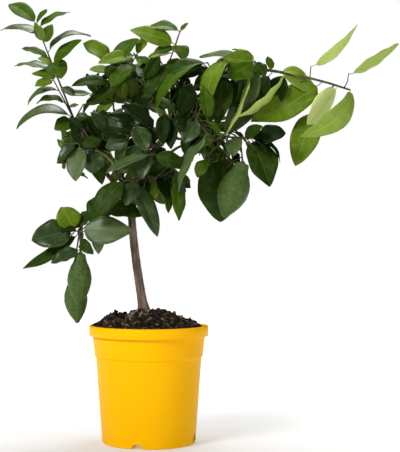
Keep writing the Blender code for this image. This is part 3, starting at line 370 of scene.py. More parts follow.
def heap():
    """The filled pot's compost as one closed body with a crumbly top."""
    verts = []
    rows = []
    for radius, height in reversed(inner_profile()[1:]):
        count = SOIL_SEGMENTS if radius > 0.0 else 1
        rows.append(list(range(len(verts), len(verts) + count)))
        for segment in range(count):
            turn = 2 * math.pi * segment / SOIL_SEGMENTS
            reach = max(radius - SOIL_GAP, 0.0)
            verts.append(Vector((reach * math.cos(turn), reach * math.sin(turn), height + SOIL_GAP)))
    for ring in range(SOIL_RINGS + 1):
        share = 1.0 - ring / SOIL_RINGS
        count = SOIL_SEGMENTS if share > 0.0 else 1
        rows.append(list(range(len(verts), len(verts) + count)))
        for segment in range(count):
            turn = 2 * math.pi * segment / SOIL_SEGMENTS
            radius = soil_rim_radius() * share
            x = radius * math.cos(turn)
            y = radius * math.sin(turn)
            verts.append(Vector((x, y, soil_height(x, y) + crumble(x, y) * min(1.0, 6 * (1 - share) + 0.2))))
    return verts, skin(rows)


def crumb(dice, centre, size, flat):
    """A rough lump, or a flat chip where flat is small."""
    body = bmesh.new()
    bmesh.ops.create_icosphere(body, subdivisions=1 if size < 3.0 else 2, radius=1.0)
    turn = Quaternion((dice.gauss(0, 1), dice.gauss(0, 1), dice.gauss(0, 1), dice.gauss(0, 1))).normalized()
    long = dice.uniform(1.0, 1.7 if flat > 0.5 else 2.6)
    seed = Vector((dice.uniform(0, 99), dice.uniform(0, 99), dice.uniform(0, 99)))
    points = []
    for vert in body.verts:
        rough = 1.0 + 0.45 * noise.noise(vert.co * 1.6 + seed)
        shape = Vector((vert.co.x * long, vert.co.y, vert.co.z * flat)) * (size / 2 * rough)
        points.append(centre + turn @ shape)
    faces = [tuple(vert.index for vert in face.verts) for face in body.faces]
    body.free()
    return points, faces


def scatter(seed, count, low, high, flat, lift=0.0, place=None):
    """Loose pieces over the heap, or round a place on it, as one mesh."""
    dice = random.Random(seed)
    verts = []
    faces = []
    for _ in range(count):
        radius = soil_rim_radius() * math.sqrt(dice.uniform(0.0, 0.93))
        turn = dice.uniform(0, 2 * math.pi)
        x, y = radius * math.cos(turn), radius * math.sin(turn)
        if place:
            x, y = dice.gauss(place[0], place[2]), dice.gauss(place[1], place[2])
        if math.hypot(x - TRUNK_FOOT.x, y - TRUNK_FOOT.y) < 12.0:
            continue
        size = low + (high - low) * dice.random() ** 2.5
        centre = Vector((x, y, soil_height(x, y) + crumble(x, y) + dice.uniform(-0.6, 0.6) + lift))
        points, sides = crumb(dice, centre, size, flat)
        faces += [tuple(len(verts) + k for k in side) for side in sides]
        verts += points
    return verts, faces


# Peat compost, moist and quite matt, mottled at random from near black to light brown. The mottle
# is partly wet and dried peat, and partly painted shade in its near-black patches and painted
# highlight in its light-brown ones.
peat, tree, shader = finish("moist_peat_compost", "#1d140d", 0.92, Specular_IOR_Level=0.2)
shade = ramp(
    tree, mottle(tree, 7.0, 6.0), (0.38, "#050302"), (0.5, "#1b130c"), (0.59, "#483827"), (0.7, "#8c765a")
)
tree.links.new(shade, shader.inputs["Base Color"])
relief(tree, shader, mottle(tree, 1.0, 5.0), 0.5)

compost = put("compost_heap", *heap(), [peat])
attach(compost, "root")
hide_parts("potting_mix")

crumbs = put("compost_crumbs", *scatter(11, CRUMBS, 1.4, 5.0, 0.8), [peat], False)
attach(crumbs, "root")

clods = put("compost_clods", *scatter(14, CLODS, 5.0, 13.0, 0.7, -1.4), [peat], False)
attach(clods, "root")

# Composted bark chips: dry fibre, redder and paler than the peat, rough and matt.
chip, tree, shader = finish("composted_bark_chip", "#4a3626", 0.9, Specular_IOR_Level=0.2)
shade = ramp(tree, mottle(tree, 14.0, 3.0), (0.3, "#1c130d"), (0.55, "#4a3727"), (0.75, "#836c50"))
tree.links.new(shade, shader.inputs["Base Color"])
relief(tree, shader, mottle(tree, 0.8, 4.0, (1.0, 1.0, 5.0)), 0.2)

chips = put("bark_chips", *scatter(12, CHIPS, 2.5, 8.0, 0.35), [chip], False)
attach(chips, "root")

# Dried peat dust with a green-grey bloom of algae, matt: it lies left of the trunk.
bloom, tree, shader = finish("dried_peat_crust", "#8a8975", 0.95, Specular_IOR_Level=0.1)
shade = ramp(tree, mottle(tree, 4.0, 4.0), (0.35, "#524e3b"), (0.55, "#827e68"), (0.72, "#a6a28c"))
tree.links.new(shade, shader.inputs["Base Color"])

crust = put("compost_crust", *scatter(15, DUSTY, 2.0, 6.0, 0.5, 0.8, DUSTY_PLACE), [bloom], False)
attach(crust, "root")


# The trunk and boughs: young lemon wood under thin grey-brown bark, greener on the boughs. The
# trunk stands in the compost, leans left and forks low; each bough grows out of its side.

# The trunk: the course of its middle line from the ground to the tip of the leader.
TRUNK_COURSE = (
    (-8.0, 0.0, 209.8),
    (-17.0, -1.0, 266.0),
    (-24.5, -2.5, 325.0),
    (-27.5, -4.0, 378.0),
    (-19.0, -2.0, 440.0),
    (-11.5, 0.0, 512.0),
)
TRUNK_RADIUS = 7.1
TRUNK_FORK_RADIUS = 6.1
TRUNK_TIP_RADIUS = 2.2
TRUNK_FORK = 378.0
FLARE = 3.6
FLARE_HEIGHT = 8.0
TRUNK_SIDES = 10
TRUNK_STATIONS = 13
TRUNK_STATION_POWER = 1.25
TRUNK_TIP_POWER = 0.6

# The boughs: where each leaves the trunk, how, where it ends, and its two radii.
BOUGHS = {
    # height, azimuth, rise, tip (x, y, z), azimuth and rise at the tip, radius, tip radius
    "low_left": (368, 200, 55, (-60, -24, 392), 195, -25, 3.6, 2.4),
    "left": (381, 172, 48, (-117, -6, 509), 180, 66, 4.4, 2.6),
    "shoulder": (392, 222, 30, (-84, -48, 456), 200, 15, 3.2, 2.0),
    "left_top": (422, 165, 58, (-56, 8, 532), 172, 70, 3.0, 1.9),
    "right_high": (428, 6, 52, (190, -6, 592), 0, -6, 3.9, 2.2),
    "right_low": (386, 345, 32, (112, -42, 482), 350, 22, 3.8, 2.2),
    "right_top": (448, 345, 42, (100, -28, 576), 2, 20, 2.8, 1.9),
    "low_front": (372, 318, 30, (6, -34, 418), 345, 10, 2.8, 1.9),
    "front": (398, 272, 34, (-8, -80, 462), 275, 5, 3.2, 2.0),
    "front_right": (412, 300, 38, (48, -72, 492), 310, 20, 3.0, 1.9),
    "back_left": (396, 128, 38, (-84, 78, 474), 140, 18, 3.4, 2.0),
    "back_right": (398, 48, 36, (66, 86, 486), 40, 18, 3.4, 2.0),
    "back": (454, 92, 50, (-14, 84, 548), 90, 30, 3.0, 1.9),
    "low_back": (376, 85, 25, (-8, 56, 424), 70, 10, 3.0, 1.9),
}
BOUGH_SIDES = 5
BOUGH_STATIONS = 7
BOUGH_HANDLE = 0.38
BOUGH_TAPER_POWER = 0.8

def heading(azimuth, rise):
    """The unit direction at an azimuth and a rise above level."""
    flat = math.cos(math.radians(rise))
    turn = math.radians(azimuth)
    return Vector((flat * math.cos(turn), flat * math.sin(turn), math.sin(math.radians(rise))))


def bezier(first, first_way, last, last_way, count):
    """Points on a curve that leaves and arrives along the two given ways."""
    handle = BOUGH_HANDLE * (last - first).length
    second = first + first_way * handle
    third = last - last_way * handle
    points = []
    for index in range(count):
        t = index / (count - 1)
        s = 1.0 - t
        points.append(
            first * s**3 + second * 3 * s * s * t + third * 3 * s * t * t + last * t**3
        )
    return points


def along(points, share):
    """The point and the direction at a share of a line's length, a little short of its tip."""
    steps = [after - before for before, after in zip(points, points[1:])]
    total = sum(step.length for step in steps)
    left = min(max(share * total, SINK * 1.6), total - SINK)
    for point, step in zip(points, steps):
        if left <= step.length or step is steps[-1]:
            break
        left -= step.length
    return point + step.normalized() * min(left, step.length), step.normalized()


def course_point(course, share):
    """A smooth curve through a short list of points."""
    place = min(max(share, 0.0), 1.0) * (len(course) - 1)
    index = min(int(place), len(course) - 2)
    t = place - index
    p1, p2 = Vector(course[index]), Vector(course[index + 1])
    p0 = Vector(course[index - 1]) if index > 0 else p1 * 2 - p2
    p3 = Vector(course[index + 2]) if index + 2 < len(course) else p2 * 2 - p1
    return 0.5 * (
        p1 * 2 + (p2 - p0) * t + (p0 * 2 - p1 * 5 + p2 * 4 - p3) * t * t
        + (p1 * 3 - p0 - p2 * 3 + p3) * t**3
    )


def trunk_radius(height):
    """The trunk's radius at a height: flare, slow taper to the fork, quick taper above."""
    if height < TRUNK_FORK:
        share = (height - SOIL_CROWN) / (TRUNK_FORK - SOIL_CROWN)
        body = TRUNK_RADIUS + (TRUNK_FORK_RADIUS - TRUNK_RADIUS) * share
    else:
        share = (height - TRUNK_FORK) / (TRUNK_COURSE[-1][2] - TRUNK_FORK)
        body = TRUNK_FORK_RADIUS + (TRUNK_TIP_RADIUS - TRUNK_FORK_RADIUS) * share**TRUNK_TIP_POWER
    return body + FLARE * math.exp(-(height - SOIL_CROWN) / FLARE_HEIGHT)


def trunk_line():
    """The trunk's stations, closer together in the flare."""
    shares = [(index / TRUNK_STATIONS) ** TRUNK_STATION_POWER for index in range(TRUNK_STATIONS + 1)]
    points = [course_point(TRUNK_COURSE, share) for share in shares]
    return points, [trunk_radius(point.z) for point in points]


def trunk_at(height):
    """The point of the trunk's middle line at a height."""
    points, _ = trunk_line()
    for low, high in zip(points, points[1:]):
        if low.z <= height <= high.z:
            return low.lerp(high, (height - low.z) / (high.z - low.z))
    return points[-1].copy()


def bough_line(name):
    """A bough's stations and radii, from the trunk's middle line to its tip."""
    height, azimuth, rise, tip, tip_azimuth, tip_rise, radius, tip_radius = BOUGHS[name]
    points = bezier(
        trunk_at(height), heading(azimuth, rise), Vector(tip), heading(tip_azimuth, tip_rise),
        BOUGH_STATIONS,
    )
    last = BOUGH_STATIONS - 1
    radii = [
        radius + (tip_radius - radius) * (index / last) ** BOUGH_TAPER_POWER
        for index in range(last + 1)
    ]
    return points, radii

def tube(points, radii, sides):
    """A closed round tube of changing radius along a line."""
    verts = []
    faces = []
    way = (points[1] - points[0]).normalized()
    across = way.orthogonal().normalized()
    for index, point in enumerate(points):
        before = points[max(index - 1, 0)]
        after = points[min(index + 1, len(points) - 1)]
        turned = (after - before).normalized()
        across = way.rotation_difference(turned) @ across
        way = turned
        across = (across - way * across.dot(way)).normalized()
        other = way.cross(across)
        for side in range(sides):
            angle = 2 * math.pi * side / sides
            verts.append(point + (across * math.cos(angle) + other * math.sin(angle)) * radii[index])
    for index in range(len(points) - 1):
        for side in range(sides):
            a = index * sides + side
            b = index * sides + (side + 1) % sides
            faces.append((a, b, b + sides, a + sides))
    faces.append(tuple(range(sides - 1, -1, -1)))
    top = (len(points) - 1) * sides
    faces.append(tuple(range(top, top + sides)))
    return verts, faces

def bark_tube(points, radii, sides, rough, collar=0.0):
    """A limb with bark relief: fine ridges along it, rings of old leaf scars, a swollen root."""
    fine = []
    widths = []
    for k in range(len(points) - 1):
        steps = max(2, int((points[k + 1] - points[k]).length / 2.2))
        for step in range(steps):
            t = step / steps
            fine.append(points[k].lerp(points[k + 1], t))
            widths.append(radii[k] + (radii[k + 1] - radii[k]) * t)
    fine.append(points[-1])
    widths.append(radii[-1])
    fine = smoothed(fine, 3)
    travelled = 0.0
    for k, width in enumerate(widths):
        if k:
            travelled += (fine[k] - fine[k - 1]).length
        scar = math.exp(-((travelled % 23.0 - 11.0) / 2.0) ** 2)
        widths[k] = width * (1.0 + 0.05 * scar) + collar * math.exp(-travelled / 7.0)
    verts, faces = tube(fine, widths, sides)
    out = []
    for number, vert in enumerate(verts):
        middle = fine[number // sides]
        away = (vert - middle).normalized()
        grain = Vector((vert.x / 2.0, vert.y / 2.0, vert.z / 11.0))
        ridges = noise.noise(grain) + 0.6 * noise.noise(grain * 2.3)
        out.append(vert + away * rough * ridges)
    return out, faces


def smoothed(points, rounds):
    """The same line with its corners eased; its ends stay."""
    for _ in range(rounds):
        eased = [
            (points[k - 1] + points[k] * 2 + points[k + 1]) / 4 for k in range(1, len(points) - 1)
        ]
        points = [points[0]] + eased + [points[-1]]
    return points


def joined(meshes):
    """Several meshes as one."""
    verts = []
    faces = []
    for points, sides in meshes:
        faces += [tuple(len(verts) + k for k in side) for side in sides]
        verts += points
    return verts, faces


# Lemon bark: thin, dull, grey-brown with a green cast higher up, finely cracked along the stem.
bark, tree, shader = finish("young_lemon_bark", "#57493a", 0.82)
shade = ramp(
    tree, mottle(tree, 6.0, 6.0, (1.0, 1.0, 0.25)),
    (0.3, "#3f3026"), (0.48, "#625143"), (0.62, "#7b6a5a"), (0.78, "#9e9180"),
)
tree.links.new(shade, shader.inputs["Base Color"])
relief(tree, shader, mottle(tree, 1.4, 5.0, (1.0, 1.0, 0.22)), 0.35)

wood, tree, shader = finish("green_lemon_wood", "#403c20", 0.7, Specular_IOR_Level=0.2)
shade = ramp(
    tree, mottle(tree, 7.0, 5.0, (1.0, 1.0, 0.4)),
    (0.3, "#26230f"), (0.5, "#403c20"), (0.72, "#67603b"),
)
tree.links.new(shade, shader.inputs["Base Color"])
relief(tree, shader, mottle(tree, 1.6, 4.0, (1.0, 1.0, 0.3)), 0.2)

trunk_points, trunk_radii = trunk_line()
trunk_verts, trunk_faces = bark_tube(trunk_points, trunk_radii, 40, 0.35)
for vert in trunk_verts[:40]:
    vert.z = SOIL_CROWN - 0.6
trunk = put("trunk_bark", trunk_verts, trunk_faces, [bark])
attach(trunk, "root")
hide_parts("trunk")

limbs = put(
    "bough_bark",
    *joined([bark_tube(*bough_line(name), 18, 0.14, 1.2) for name in BOUGHS]),
    [wood],
)
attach(limbs, "root")
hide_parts(*["bough_" + name for name in BOUGHS])


# The foliage: twigs that grow on from the boughs, with leathery citrus leaves a turn of 137.5
# degrees apart. Those against the sky stand as in the photograph; the others grow by the rule.

# Leaves and twigs.
LEAF_RATIO = 0.42
LEAF_KEEL = 14.0
PETIOLE_SHARE = 0.09
PETIOLE_RADIUS = 0.9
PETIOLE_DEPTH = 1.44
PETIOLE_FOLD = 0.3
LEAF_THICKNESS = 0.015
LEAF_THINNEST = 0.9
BLADE_BASE_POWER = 0.6
BLADE_TIP_POWER = 0.85
BLADE_SCALE = 2.67
BLADE_FIRST = 0.62
LEAF_SPACING = 10.5
LEAF_ROUNDS = 8
LEAF_FIRST_STATION = 0.1
LEAF_OPENING = (35, 80)
TIP_OPENING = (8, 40)
LEAF_ARCH = (10, 55)
LEAF_DROOP = 0.6
LEAF_TILT = 26
LIGHT_RISE = 0.6
LIGHT_SIDE = 0.5
SIZE_SPREAD = (0.75, 1.25)
SINK = 1.8
TWIG_SIDES = 3
TWIG_FIRST = 0.10
TWIG_ROOM = 0.88
TWIG_LIFT = 0.2
TWIG_BEND = (-10, 30)
STALK_BEND = 25
STALK_SUNK = 1.5
STEM_LEAD = 2.0
FRUIT_SIDES = 8
TWIG_RADIUS = 1.4
TWIG_TIP_RADIUS = 1.0
TWIG_OPENING = (46, 75)
STALK_RADII = (1.4, 1.2, 1.8)

# How the rule looks for room: the gap it keeps, the turn between tries, how a try shrinks.
CLEARANCE = 1.0
CLEAR_FROM = 0.14
LIMB_CLEARANCE = 0.6
TRIES = 10
TRY_TURN = 43
TRY_SHRINK = 0.96
GAP = 0.3
GOLDEN = 137.5
VIEWER = Vector((0.0, -1.0, 0.0))

# The masses of foliage. Each grows from a bough's tip (or the trunk's) by one stem.
# stem: reach x, y, z and bend. space: centre and half-sizes of the room it keeps to.
# twigs: count and length of the twigs grown by the rule. fill: most leaves by the rule.
# shoots: (parent, station, reach x, y, z, bend) for those that show against the sky.
# leaves: (shoot, station, reach x, y, z, arch, turn, width ratio) of those that do; turn is 0
# where the upper side faces the viewer, 90 where it faces up and 180 where it faces away.
# fruit: (shoot, station, stalk x, y, z, length, width, azimuth and lean of its end).
MASSES = {
    "shoots_left": {
        "bough": "left",
        "stem": (-62, -4, 157, 0),
        "radius": 2.0,
        "space": (-150, 0, 590, 95, 80, 120),
        "twigs": (0, 0),
        "leaf": 44,
        "fill": 0,
        "seed": 3,
        "shoots": ((0, 0.03, -32, -14, 62, 0), (0, 0.02, 14, 6, 27, 0)),
        "leaves": (
            (0, 1.00, -47, 20, 36, 56, 30, 0.44),
            (0, 1.00, 16, 8, 26, 20, 50, 0.52),
            (0, 0.94, 49, 10, 29, 56, 58, 0.46),
            (0, 0.88, -65, 8, 9, 62, 60, 0.44),
            (0, 0.81, -13, -12, 28, 15, 145, 0.56),
            (0, 0.80, 15, -12, 27, 10, 20, 0.60),
            (0, 0.70, 68, 16, 29, 82, 66, 0.46),
            (0, 0.58, 47, -10, 38, 46, 40, 0.40),
            (0, 0.64, -45, -6, 15, 42, 52, 0.40),
            (0, 0.58, -22, -14, 8, 40, 40, 0.56),
            (0, 0.50, -67, 10, 12, 60, 62, 0.40),
            (0, 0.45, -40, -12, 4, 40, 45, 0.52),
            (0, 0.60, 18, -30, -30, 40, 20, 0.72),
            (0, 0.57, 24, -20, 0, 30, 35, 0.50),
            (1, 0.98, -28, -14, -12, 28, 35, 0.56),
            (1, 0.71, -50, 2, -23, 90, 60, 0.42),
            (1, 0.38, -46, -12, -1, 90, 56, 0.42),
            (1, 0.04, -88, -14, -20, 94, 62, 0.43),
            (0, 0.36, 22, -14, -17, 30, 40, 0.56),
            (2, 0.45, 15, -6, -9, 15, 40, 0.66),
            (0, 0.02, -30, -16, -17, 50, 25, 0.70),
            (2, 1.00, 56, -8, 29, -24, 38, 0.40),
            (0, 0.31, 46, -4, -4, -10, 44, 0.34),
            (0, 0.16, 16, -4, 2, 10, 40, 0.50),
        ),
        "fruit": (),
    },
    "foliage_shoulder": {
        "bough": "shoulder",
        "stem": (-30, -12, 16, 10),
        "radius": 1.8,
        "space": (-94, -32, 466, 60, 54, 64),
        "twigs": (3, 36),
        "leaf": 56,
        "fill": 10,
        "seed": 5,
        "shoots": ((0, 0.04, 24, -6, 34, 0),),
        "leaves": (
            (0, 0.95, -24, -6, -26, 40, 35, 0.5),
            (0, 0.75, -5, -22, -58, 25, 20, 0.5),
            (0, 0.20, 6, -28, -37, 20, 10, 0.85),
            (0, 0.26, 20, -12, -54, 20, 30, 0.45),
            (1, 1.00, 24, -10, 34, 20, 25, 0.46),
            (1, 1.00, -26, -10, 28, 25, 25, 0.50),
            (1, 0.90, 38, -12, -22, 20, 20, 0.50),
            (1, 0.60, -30, -14, -12, 20, 20, 0.56),
        ),
        "fruit": (),
    },
    "foliage_left_top": {
        "bough": "left_top",
        "stem": (-4, -4, 76, 6),
        "radius": 1.7,
        "space": (-72, 20, 580, 62, 60, 66),
        "twigs": (4, 38),
        "leaf": 60,
        "fill": 12,
        "seed": 7,
        "shoots": ((0, 0.35, 38, -6, 60, 0),),
        "leaves": (
            (0, 1.00, -45, -4, 30, 40, 32, 0.56),
            (0, 0.95, 44, -10, 38, 30, 30, 0.46),
            (1, 0.98, 18, 2, 34, 15, 35, 0.48),
            (0, 0.80, -36, -10, 0, 30, 40, 0.5),
            (0, 0.52, -66, -16, -6, 62, 42, 0.36),
            (1, 0.75, -31, -30, -42, 40, 25, 0.48),
            (0, 0.22, -24, -26, -30, 12, 22, 0.38),
            (1, 0.97, -60, -20, -16, 30, 30, 0.38),
            (1, 0.90, 28, -8, -10, 30, 30, 0.46),
        ),
        "fruit": (),
    },
    "foliage_crown": {
        "bough": "trunk",
        "stem": (55, 2, 124, -10),
        "radius": 2.0,
        "space": (20, 20, 556, 68, 62, 68),
        "twigs": (5, 46),
        "leaf": 62,
        "fill": 20,
        "seed": 9,
        "shoots": ((0, 1.0, 8, 2, 23, 10),),
        "leaves": (
            (0, 1.00, -73, -12, 21, 26, 28, 0.42),
            (1, 0.90, -53, 8, 5, 76, 44, 0.46),
            (1, 1.00, 13, 0, 14, 20, 40, 0.45),
            (0, 0.99, 12, -16, -28, 30, 30, 0.82),
            (0, 0.96, -36, -8, -14, 40, 30, 0.42),
            (0, 0.88, -40, 10, -6, 30, 40, 0.36),
            (0, 0.78, -36, -24, -60, 24, 25, 0.43),
            (0, 0.60, 70, -22, 6, 30, 25, 0.40),
        ),
        "fruit": (),
    },
    "foliage_right_top": {
        "bough": "right_top",
        "stem": (68, -2, 26, 10),
        "radius": 1.7,
        "space": (124, 4, 554, 72, 66, 62),
        "twigs": (5, 44),
        "leaf": 66,
        "fill": 14,
        "seed": 13,
        "shoots": ((0, 0.05, -12, -10, 22, 0), (0, 0.40, 0, -10, 18, 0)),
        "leaves": (
            (0, 1.00, -52, -20, 4, 30, -30, 0.60),
            (0, 1.00, -36, 8, 20, 60, 70, 0.40),
            (0, 0.96, -86, 4, 8, 36, 58, 0.28),
            (2, 1.00, -36, -16, -76, 92, 45, 0.42),
            (0, 0.28, -12, -24, -84, 24, 20, 0.42),
            (0, 0.85, -40, -30, -116, -36, 75, 0.19),
            (0, 0.98, -14, 14, -78, 20, 15, 0.40),
            (0, 0.99, -44, -24, -30, 20, 15, 0.70),
            (1, 1.00, -80, -12, -72, 78, 60, 0.32),
            (1, 0.95, -74, 4, -29, 60, 40, 0.40),
            (0, 1.00, 14, -12, -26, 20, 20, 0.70),
        ),
        "fruit": (),
    },
    "shoots_right": {
        "bough": "right_high",
        "stem": (130, -4, -32, 12),
        "radius": 1.8,
        "space": (280, -6, 560, 130, 80, 125),
        "twigs": (0, 0),
        "leaf": 64,
        "fill": 0,
        "seed": 17,
        "shoots": (
            (0, 0.50, 2, 2, 20, 0),
            (0, 0.92, 8, 4, 24, -50),
            (0, 0.80, -30, 8, -38, 20),
        ),
        "leaves": (
            (0, 0.20, -76, -20, -72, -50, 110, 0.28),
            (0, 0.14, 46, 16, -10, 72, 42, 0.46),
            (0, 0.66, -116, -14, -66, -34, 28, 0.40),
            (0, 0.84, -52, -24, -64, -20, 125, 0.44),
            (0, 1.00, -82, -28, -76, 126, -32, 0.32),
            (3, 1.00, -34, -14, -93, 20, 12, 0.50),
            (1, 1.00, 75, 6, 69, -48, 112, 0.34),
            (2, 1.00, 82, 8, 51, -44, 112, 0.37),
            (0, 0.03, -4, 8, 24, 10, 30, 0.6),
            (0, 0.06, -76, 18, -100, 20, 20, 0.36),
            (0, 0.12, 66, 18, -34, 30, 30, 0.40),
            (0, 0.20, -24, 20, -58, 20, 20, 0.50),
        ),
        "fruit": (),
    },
    "foliage_centre": {
        "bough": "front",
        "stem": (16, -14, -12, 0),
        "radius": 1.8,
        "space": (-26, -66, 478, 64, 46, 62),
        "twigs": (5, 42),
        "leaf": 60,
        "fill": 13,
        "seed": 19,
        "shoots": ((0, 0.10, -14, -8, 36, 0),),
        "leaves": (
            (0, 1.00, -72, -8, -30, 26, 55, 0.32),
            (0, 1.00, 50, -8, -22, 24, 32, 0.50),
            (1, 1.00, 18, -14, -42, 20, 15, 0.6),
            (0, 0.10, -36, -12, -24, 20, 20, 0.55),
            (0, 0.30, -6, -16, -46, 20, 15, 0.50),
        ),
        "fruit": (),
    },
    "foliage_front_right": {
        "bough": "front_right",
        "stem": (26, -22, 10, 0),
        "radius": 1.8,
        "space": (60, -64, 506, 60, 48, 64),
        "twigs": (5, 42),
        "leaf": 62,
        "fill": 14,
        "seed": 23,
        "shoots": ((0, 0.05, -28, -6, 24, 0), (0, 0.92, 17, -6, -22, 0)),
        "leaves": (
            (2, 1.00, -44, -28, -88, 24, 66, 0.30),
            (1, 0.98, -2, -14, -50, 15, 15, 0.42),
            (1, 0.55, -1, -14, -48, 15, 20, 0.42),
            (0, 1.00, -20, -12, -36, 20, 15, 0.64),
        ),
        "fruit": (),
    },
    "lemon_right": {
        "bough": "right_low",
        "stem": (58, -6, -2, 0),
        "radius": 2.0,
        "space": (150, -24, 440, 70, 54, 74),
        "twigs": (2, 30),
        "leaf": 56,
        "fill": 3,
        "seed": 29,
        "shoots": ((0, 0.18, -4, 8, -28, 0), (0, 0.13, -32, -10, -36, 0)),
        "leaves": (
            (1, 1.00, -6, 4, -106, 20, 20, 0.66),
            (0, 0.80, 28, -6, -77, 20, 25, 0.60),
            (0, 0.80, 50, 4, 2, 20, 40, 0.46),
            (0, 1.00, 36, 6, -38, 70, 60, 0.3),
            (0, 0.95, 44, -12, 6, 30, 25, 0.66),
            (0, 0.62, 26, -30, 14, 20, 25, 0.46),
            (0, 0.40, -6, -26, -32, 30, 20, 0.60),
            (2, 1.00, -14, -6, -30, 20, 20, 0.60),
        ),
        "fruit": ((0, 0.50, 3, -22, -42, 90, 48, 180, 19),),
    },
    "hangers": {
        "bough": "low_front",
        "stem": (36, -6, 14, -10),
        "radius": 1.7,
        "space": (14, -24, 406, 60, 44, 56),
        "twigs": (3, 28),
        "leaf": 54,
        "fill": 6,
        "seed": 31,
        "shoots": ((0, 0.20, -52, -24, -8, 0),),
        "leaves": (
            (1, 0.75, 39, -8, -88, 20, 30, 0.31),
            (1, 1.00, -50, -8, -58, 50, 22, 0.44),
            (1, 0.62, -16, -20, -42, 20, 15, 0.50),
            (1, 0.50, -24, -18, 34, 20, 20, 0.50),
            (0, 0.55, 4, -4, -62, 15, 40, 0.32),
            (0, 0.95, 6, -6, -80, 15, 40, 0.35),
            (0, 1.00, 14, -4, -40, 15, 30, 0.4),
            (0, 0.10, 0, -16, -34, 20, 25, 0.50),
        ),
        "fruit": (),
    },
    "lemon_left": {
        "bough": "low_left",
        "stem": (-49, -16, -59, -20),
        "radius": 2.0,
        "space": (-115, -50, 290, 100, 60, 100),
        "twigs": (0, 0),
        "leaf": 54,
        "fill": 0,
        "seed": 37,
        "shoots": ((0, 1.0, -10, 4, 3, 0),),
        "leaves": (
            (1, 0.9, -21, 10, 37, 20, 24, 0.86),
            (1, 1.0, -66, -10, -16, 20, 20, 0.64),
            (0, 1.0, -88, -4, -57, -42, 55, 0.32),
            (2, 0.8, -44, -12, -22, 20, 35, 0.46),
            (0, 0.97, 82, -18, 0, 24, 22, 0.52),
            (0, 0.55, 6, -2, -58, 20, 30, 0.42),
            (0, 0.05, -28, -14, -38, 24, 20, 0.84),
            (0, 0.35, 66, -18, -12, 74, 34, 0.44),
        ),
        "fruit": ((0, 1.0, 2, -10, -34, 82, 37, 180, 2), (0, 1.0, -10, 22, -68, 78, 36, 180, -4)),
    },
    "foliage_back_left": {
        "bough": "back_left",
        "stem": (-26, 22, 12, 0),
        "radius": 1.8,
        "space": (-92, 84, 490, 66, 68, 74),
        "twigs": (5, 44),
        "leaf": 66,
        "fill": 19,
        "seed": 41,
        "shoots": (),
        "leaves": (),
        "fruit": (),
    },
    "foliage_back_right": {
        "bough": "back_right",
        "stem": (26, 22, 12, 0),
        "radius": 1.8,
        "space": (84, 92, 492, 68, 68, 74),
        "twigs": (5, 44),
        "leaf": 66,
        "fill": 19,
        "seed": 43,
        "shoots": (),
        "leaves": (),
        "fruit": (),
    },
    "foliage_back": {
        "bough": "back",
        "stem": (-4, 14, 30, 0),
        "radius": 1.8,
        "space": (-12, 96, 580, 64, 64, 64),
        "twigs": (5, 42),
        "leaf": 62,
        "fill": 18,
        "seed": 47,
        "shoots": (),
        "leaves": (),
        "fruit": (),
    },
    "foliage_low_back": {
        "bough": "low_back",
        "stem": (14, 20, 4, 0),
        "radius": 1.8,
        "space": (0, 76, 424, 70, 64, 54),
        "twigs": (4, 40),
        "leaf": 60,
        "fill": 16,
        "seed": 53,
        "shoots": (),
        "leaves": (),
        "fruit": (),
    },
}

def facing(reach, guide, turn):
    """The upper side's normal of a leaf: towards the guide, then turned round its own length."""
    chord = reach.normalized()
    normal = guide - chord * chord.dot(guide)
    if normal.length < 0.05:
        normal = chord.orthogonal()
    normal.normalize()
    side = chord.cross(normal)
    if (side.y if guide is UP else -side.z) > 0.0:
        side = -side
    return normal * math.cos(math.radians(turn)) + side * math.sin(math.radians(turn))


def arc_point(base, reach, arch, normal, share):
    """A point of an arch over a reach, and the direction square to it there."""
    bend = math.radians(arch)
    if abs(bend) < 0.02:
        return base + reach * share, normal.copy()
    chord = reach.normalized()
    radius = reach.length / (2 * math.sin(bend / 2))
    angle = bend / 2 - bend * share
    point = (
        base
        + chord * radius * (math.sin(bend / 2) - math.sin(angle))
        + normal * radius * (math.cos(angle) - math.cos(bend / 2))
    )
    return point, normal * math.cos(angle) - chord * math.sin(angle)


def half_width(share):
    """A blade's half width, as a share of its greatest, along the blade."""
    return BLADE_SCALE * share**BLADE_BASE_POWER * (1 - share) ** BLADE_TIP_POWER


def outward(point):
    """Away from the trunk, up and a little to the front: the way that a leaf turns for light."""
    away = Vector((point.x - TRUNK_COURSE[-1][0], point.y, 0.0))
    return away.normalized() + UP * LIGHT_RISE + VIEWER * LIGHT_SIDE

def leaf_mesh(leaf, stations, swell=0.0, start=0.0):
    """A thin closed leaf: stalk, keeled blade and tip. swell makes it larger for tests."""
    base, reach, arch, normal, width = leaf
    side = reach.normalized().cross(normal)
    thick = max(LEAF_THICKNESS * reach.length, LEAF_THINNEST) + swell
    keel = math.tan(math.radians(LEAF_KEEL))
    rows = [(start, PETIOLE_RADIUS + swell / 2, PETIOLE_DEPTH, PETIOLE_FOLD)]
    for index in range(stations):
        share = (index + BLADE_FIRST) / (stations - 1 + 2 * BLADE_FIRST)
        half = width / 2 * half_width(share) + swell
        rows.append((PETIOLE_SHARE + (1 - PETIOLE_SHARE) * share, half, thick, keel))
    verts = []
    faces = [(0, 1, 2)]
    for share, half, depth, fold in rows:
        point, out = arc_point(base, reach, arch, normal, share)
        lift = out * (half * fold)
        verts += [point - side * half + lift, point + side * half + lift, point - out * depth]
    for index in range(len(rows) - 1):
        for corner in range(3):
            a = 3 * index + corner
            b = 3 * index + (corner + 1) % 3
            faces += [(a, a + 3, b), (b, a + 3, b + 3)]
    tip, _ = arc_point(base, reach, arch, normal, 1.0)
    verts.append(tip)
    last = 3 * (len(rows) - 1)
    for corner in range(3):
        faces.append((last + corner, len(verts) - 1, last + (corner + 1) % 3))
    return verts, faces

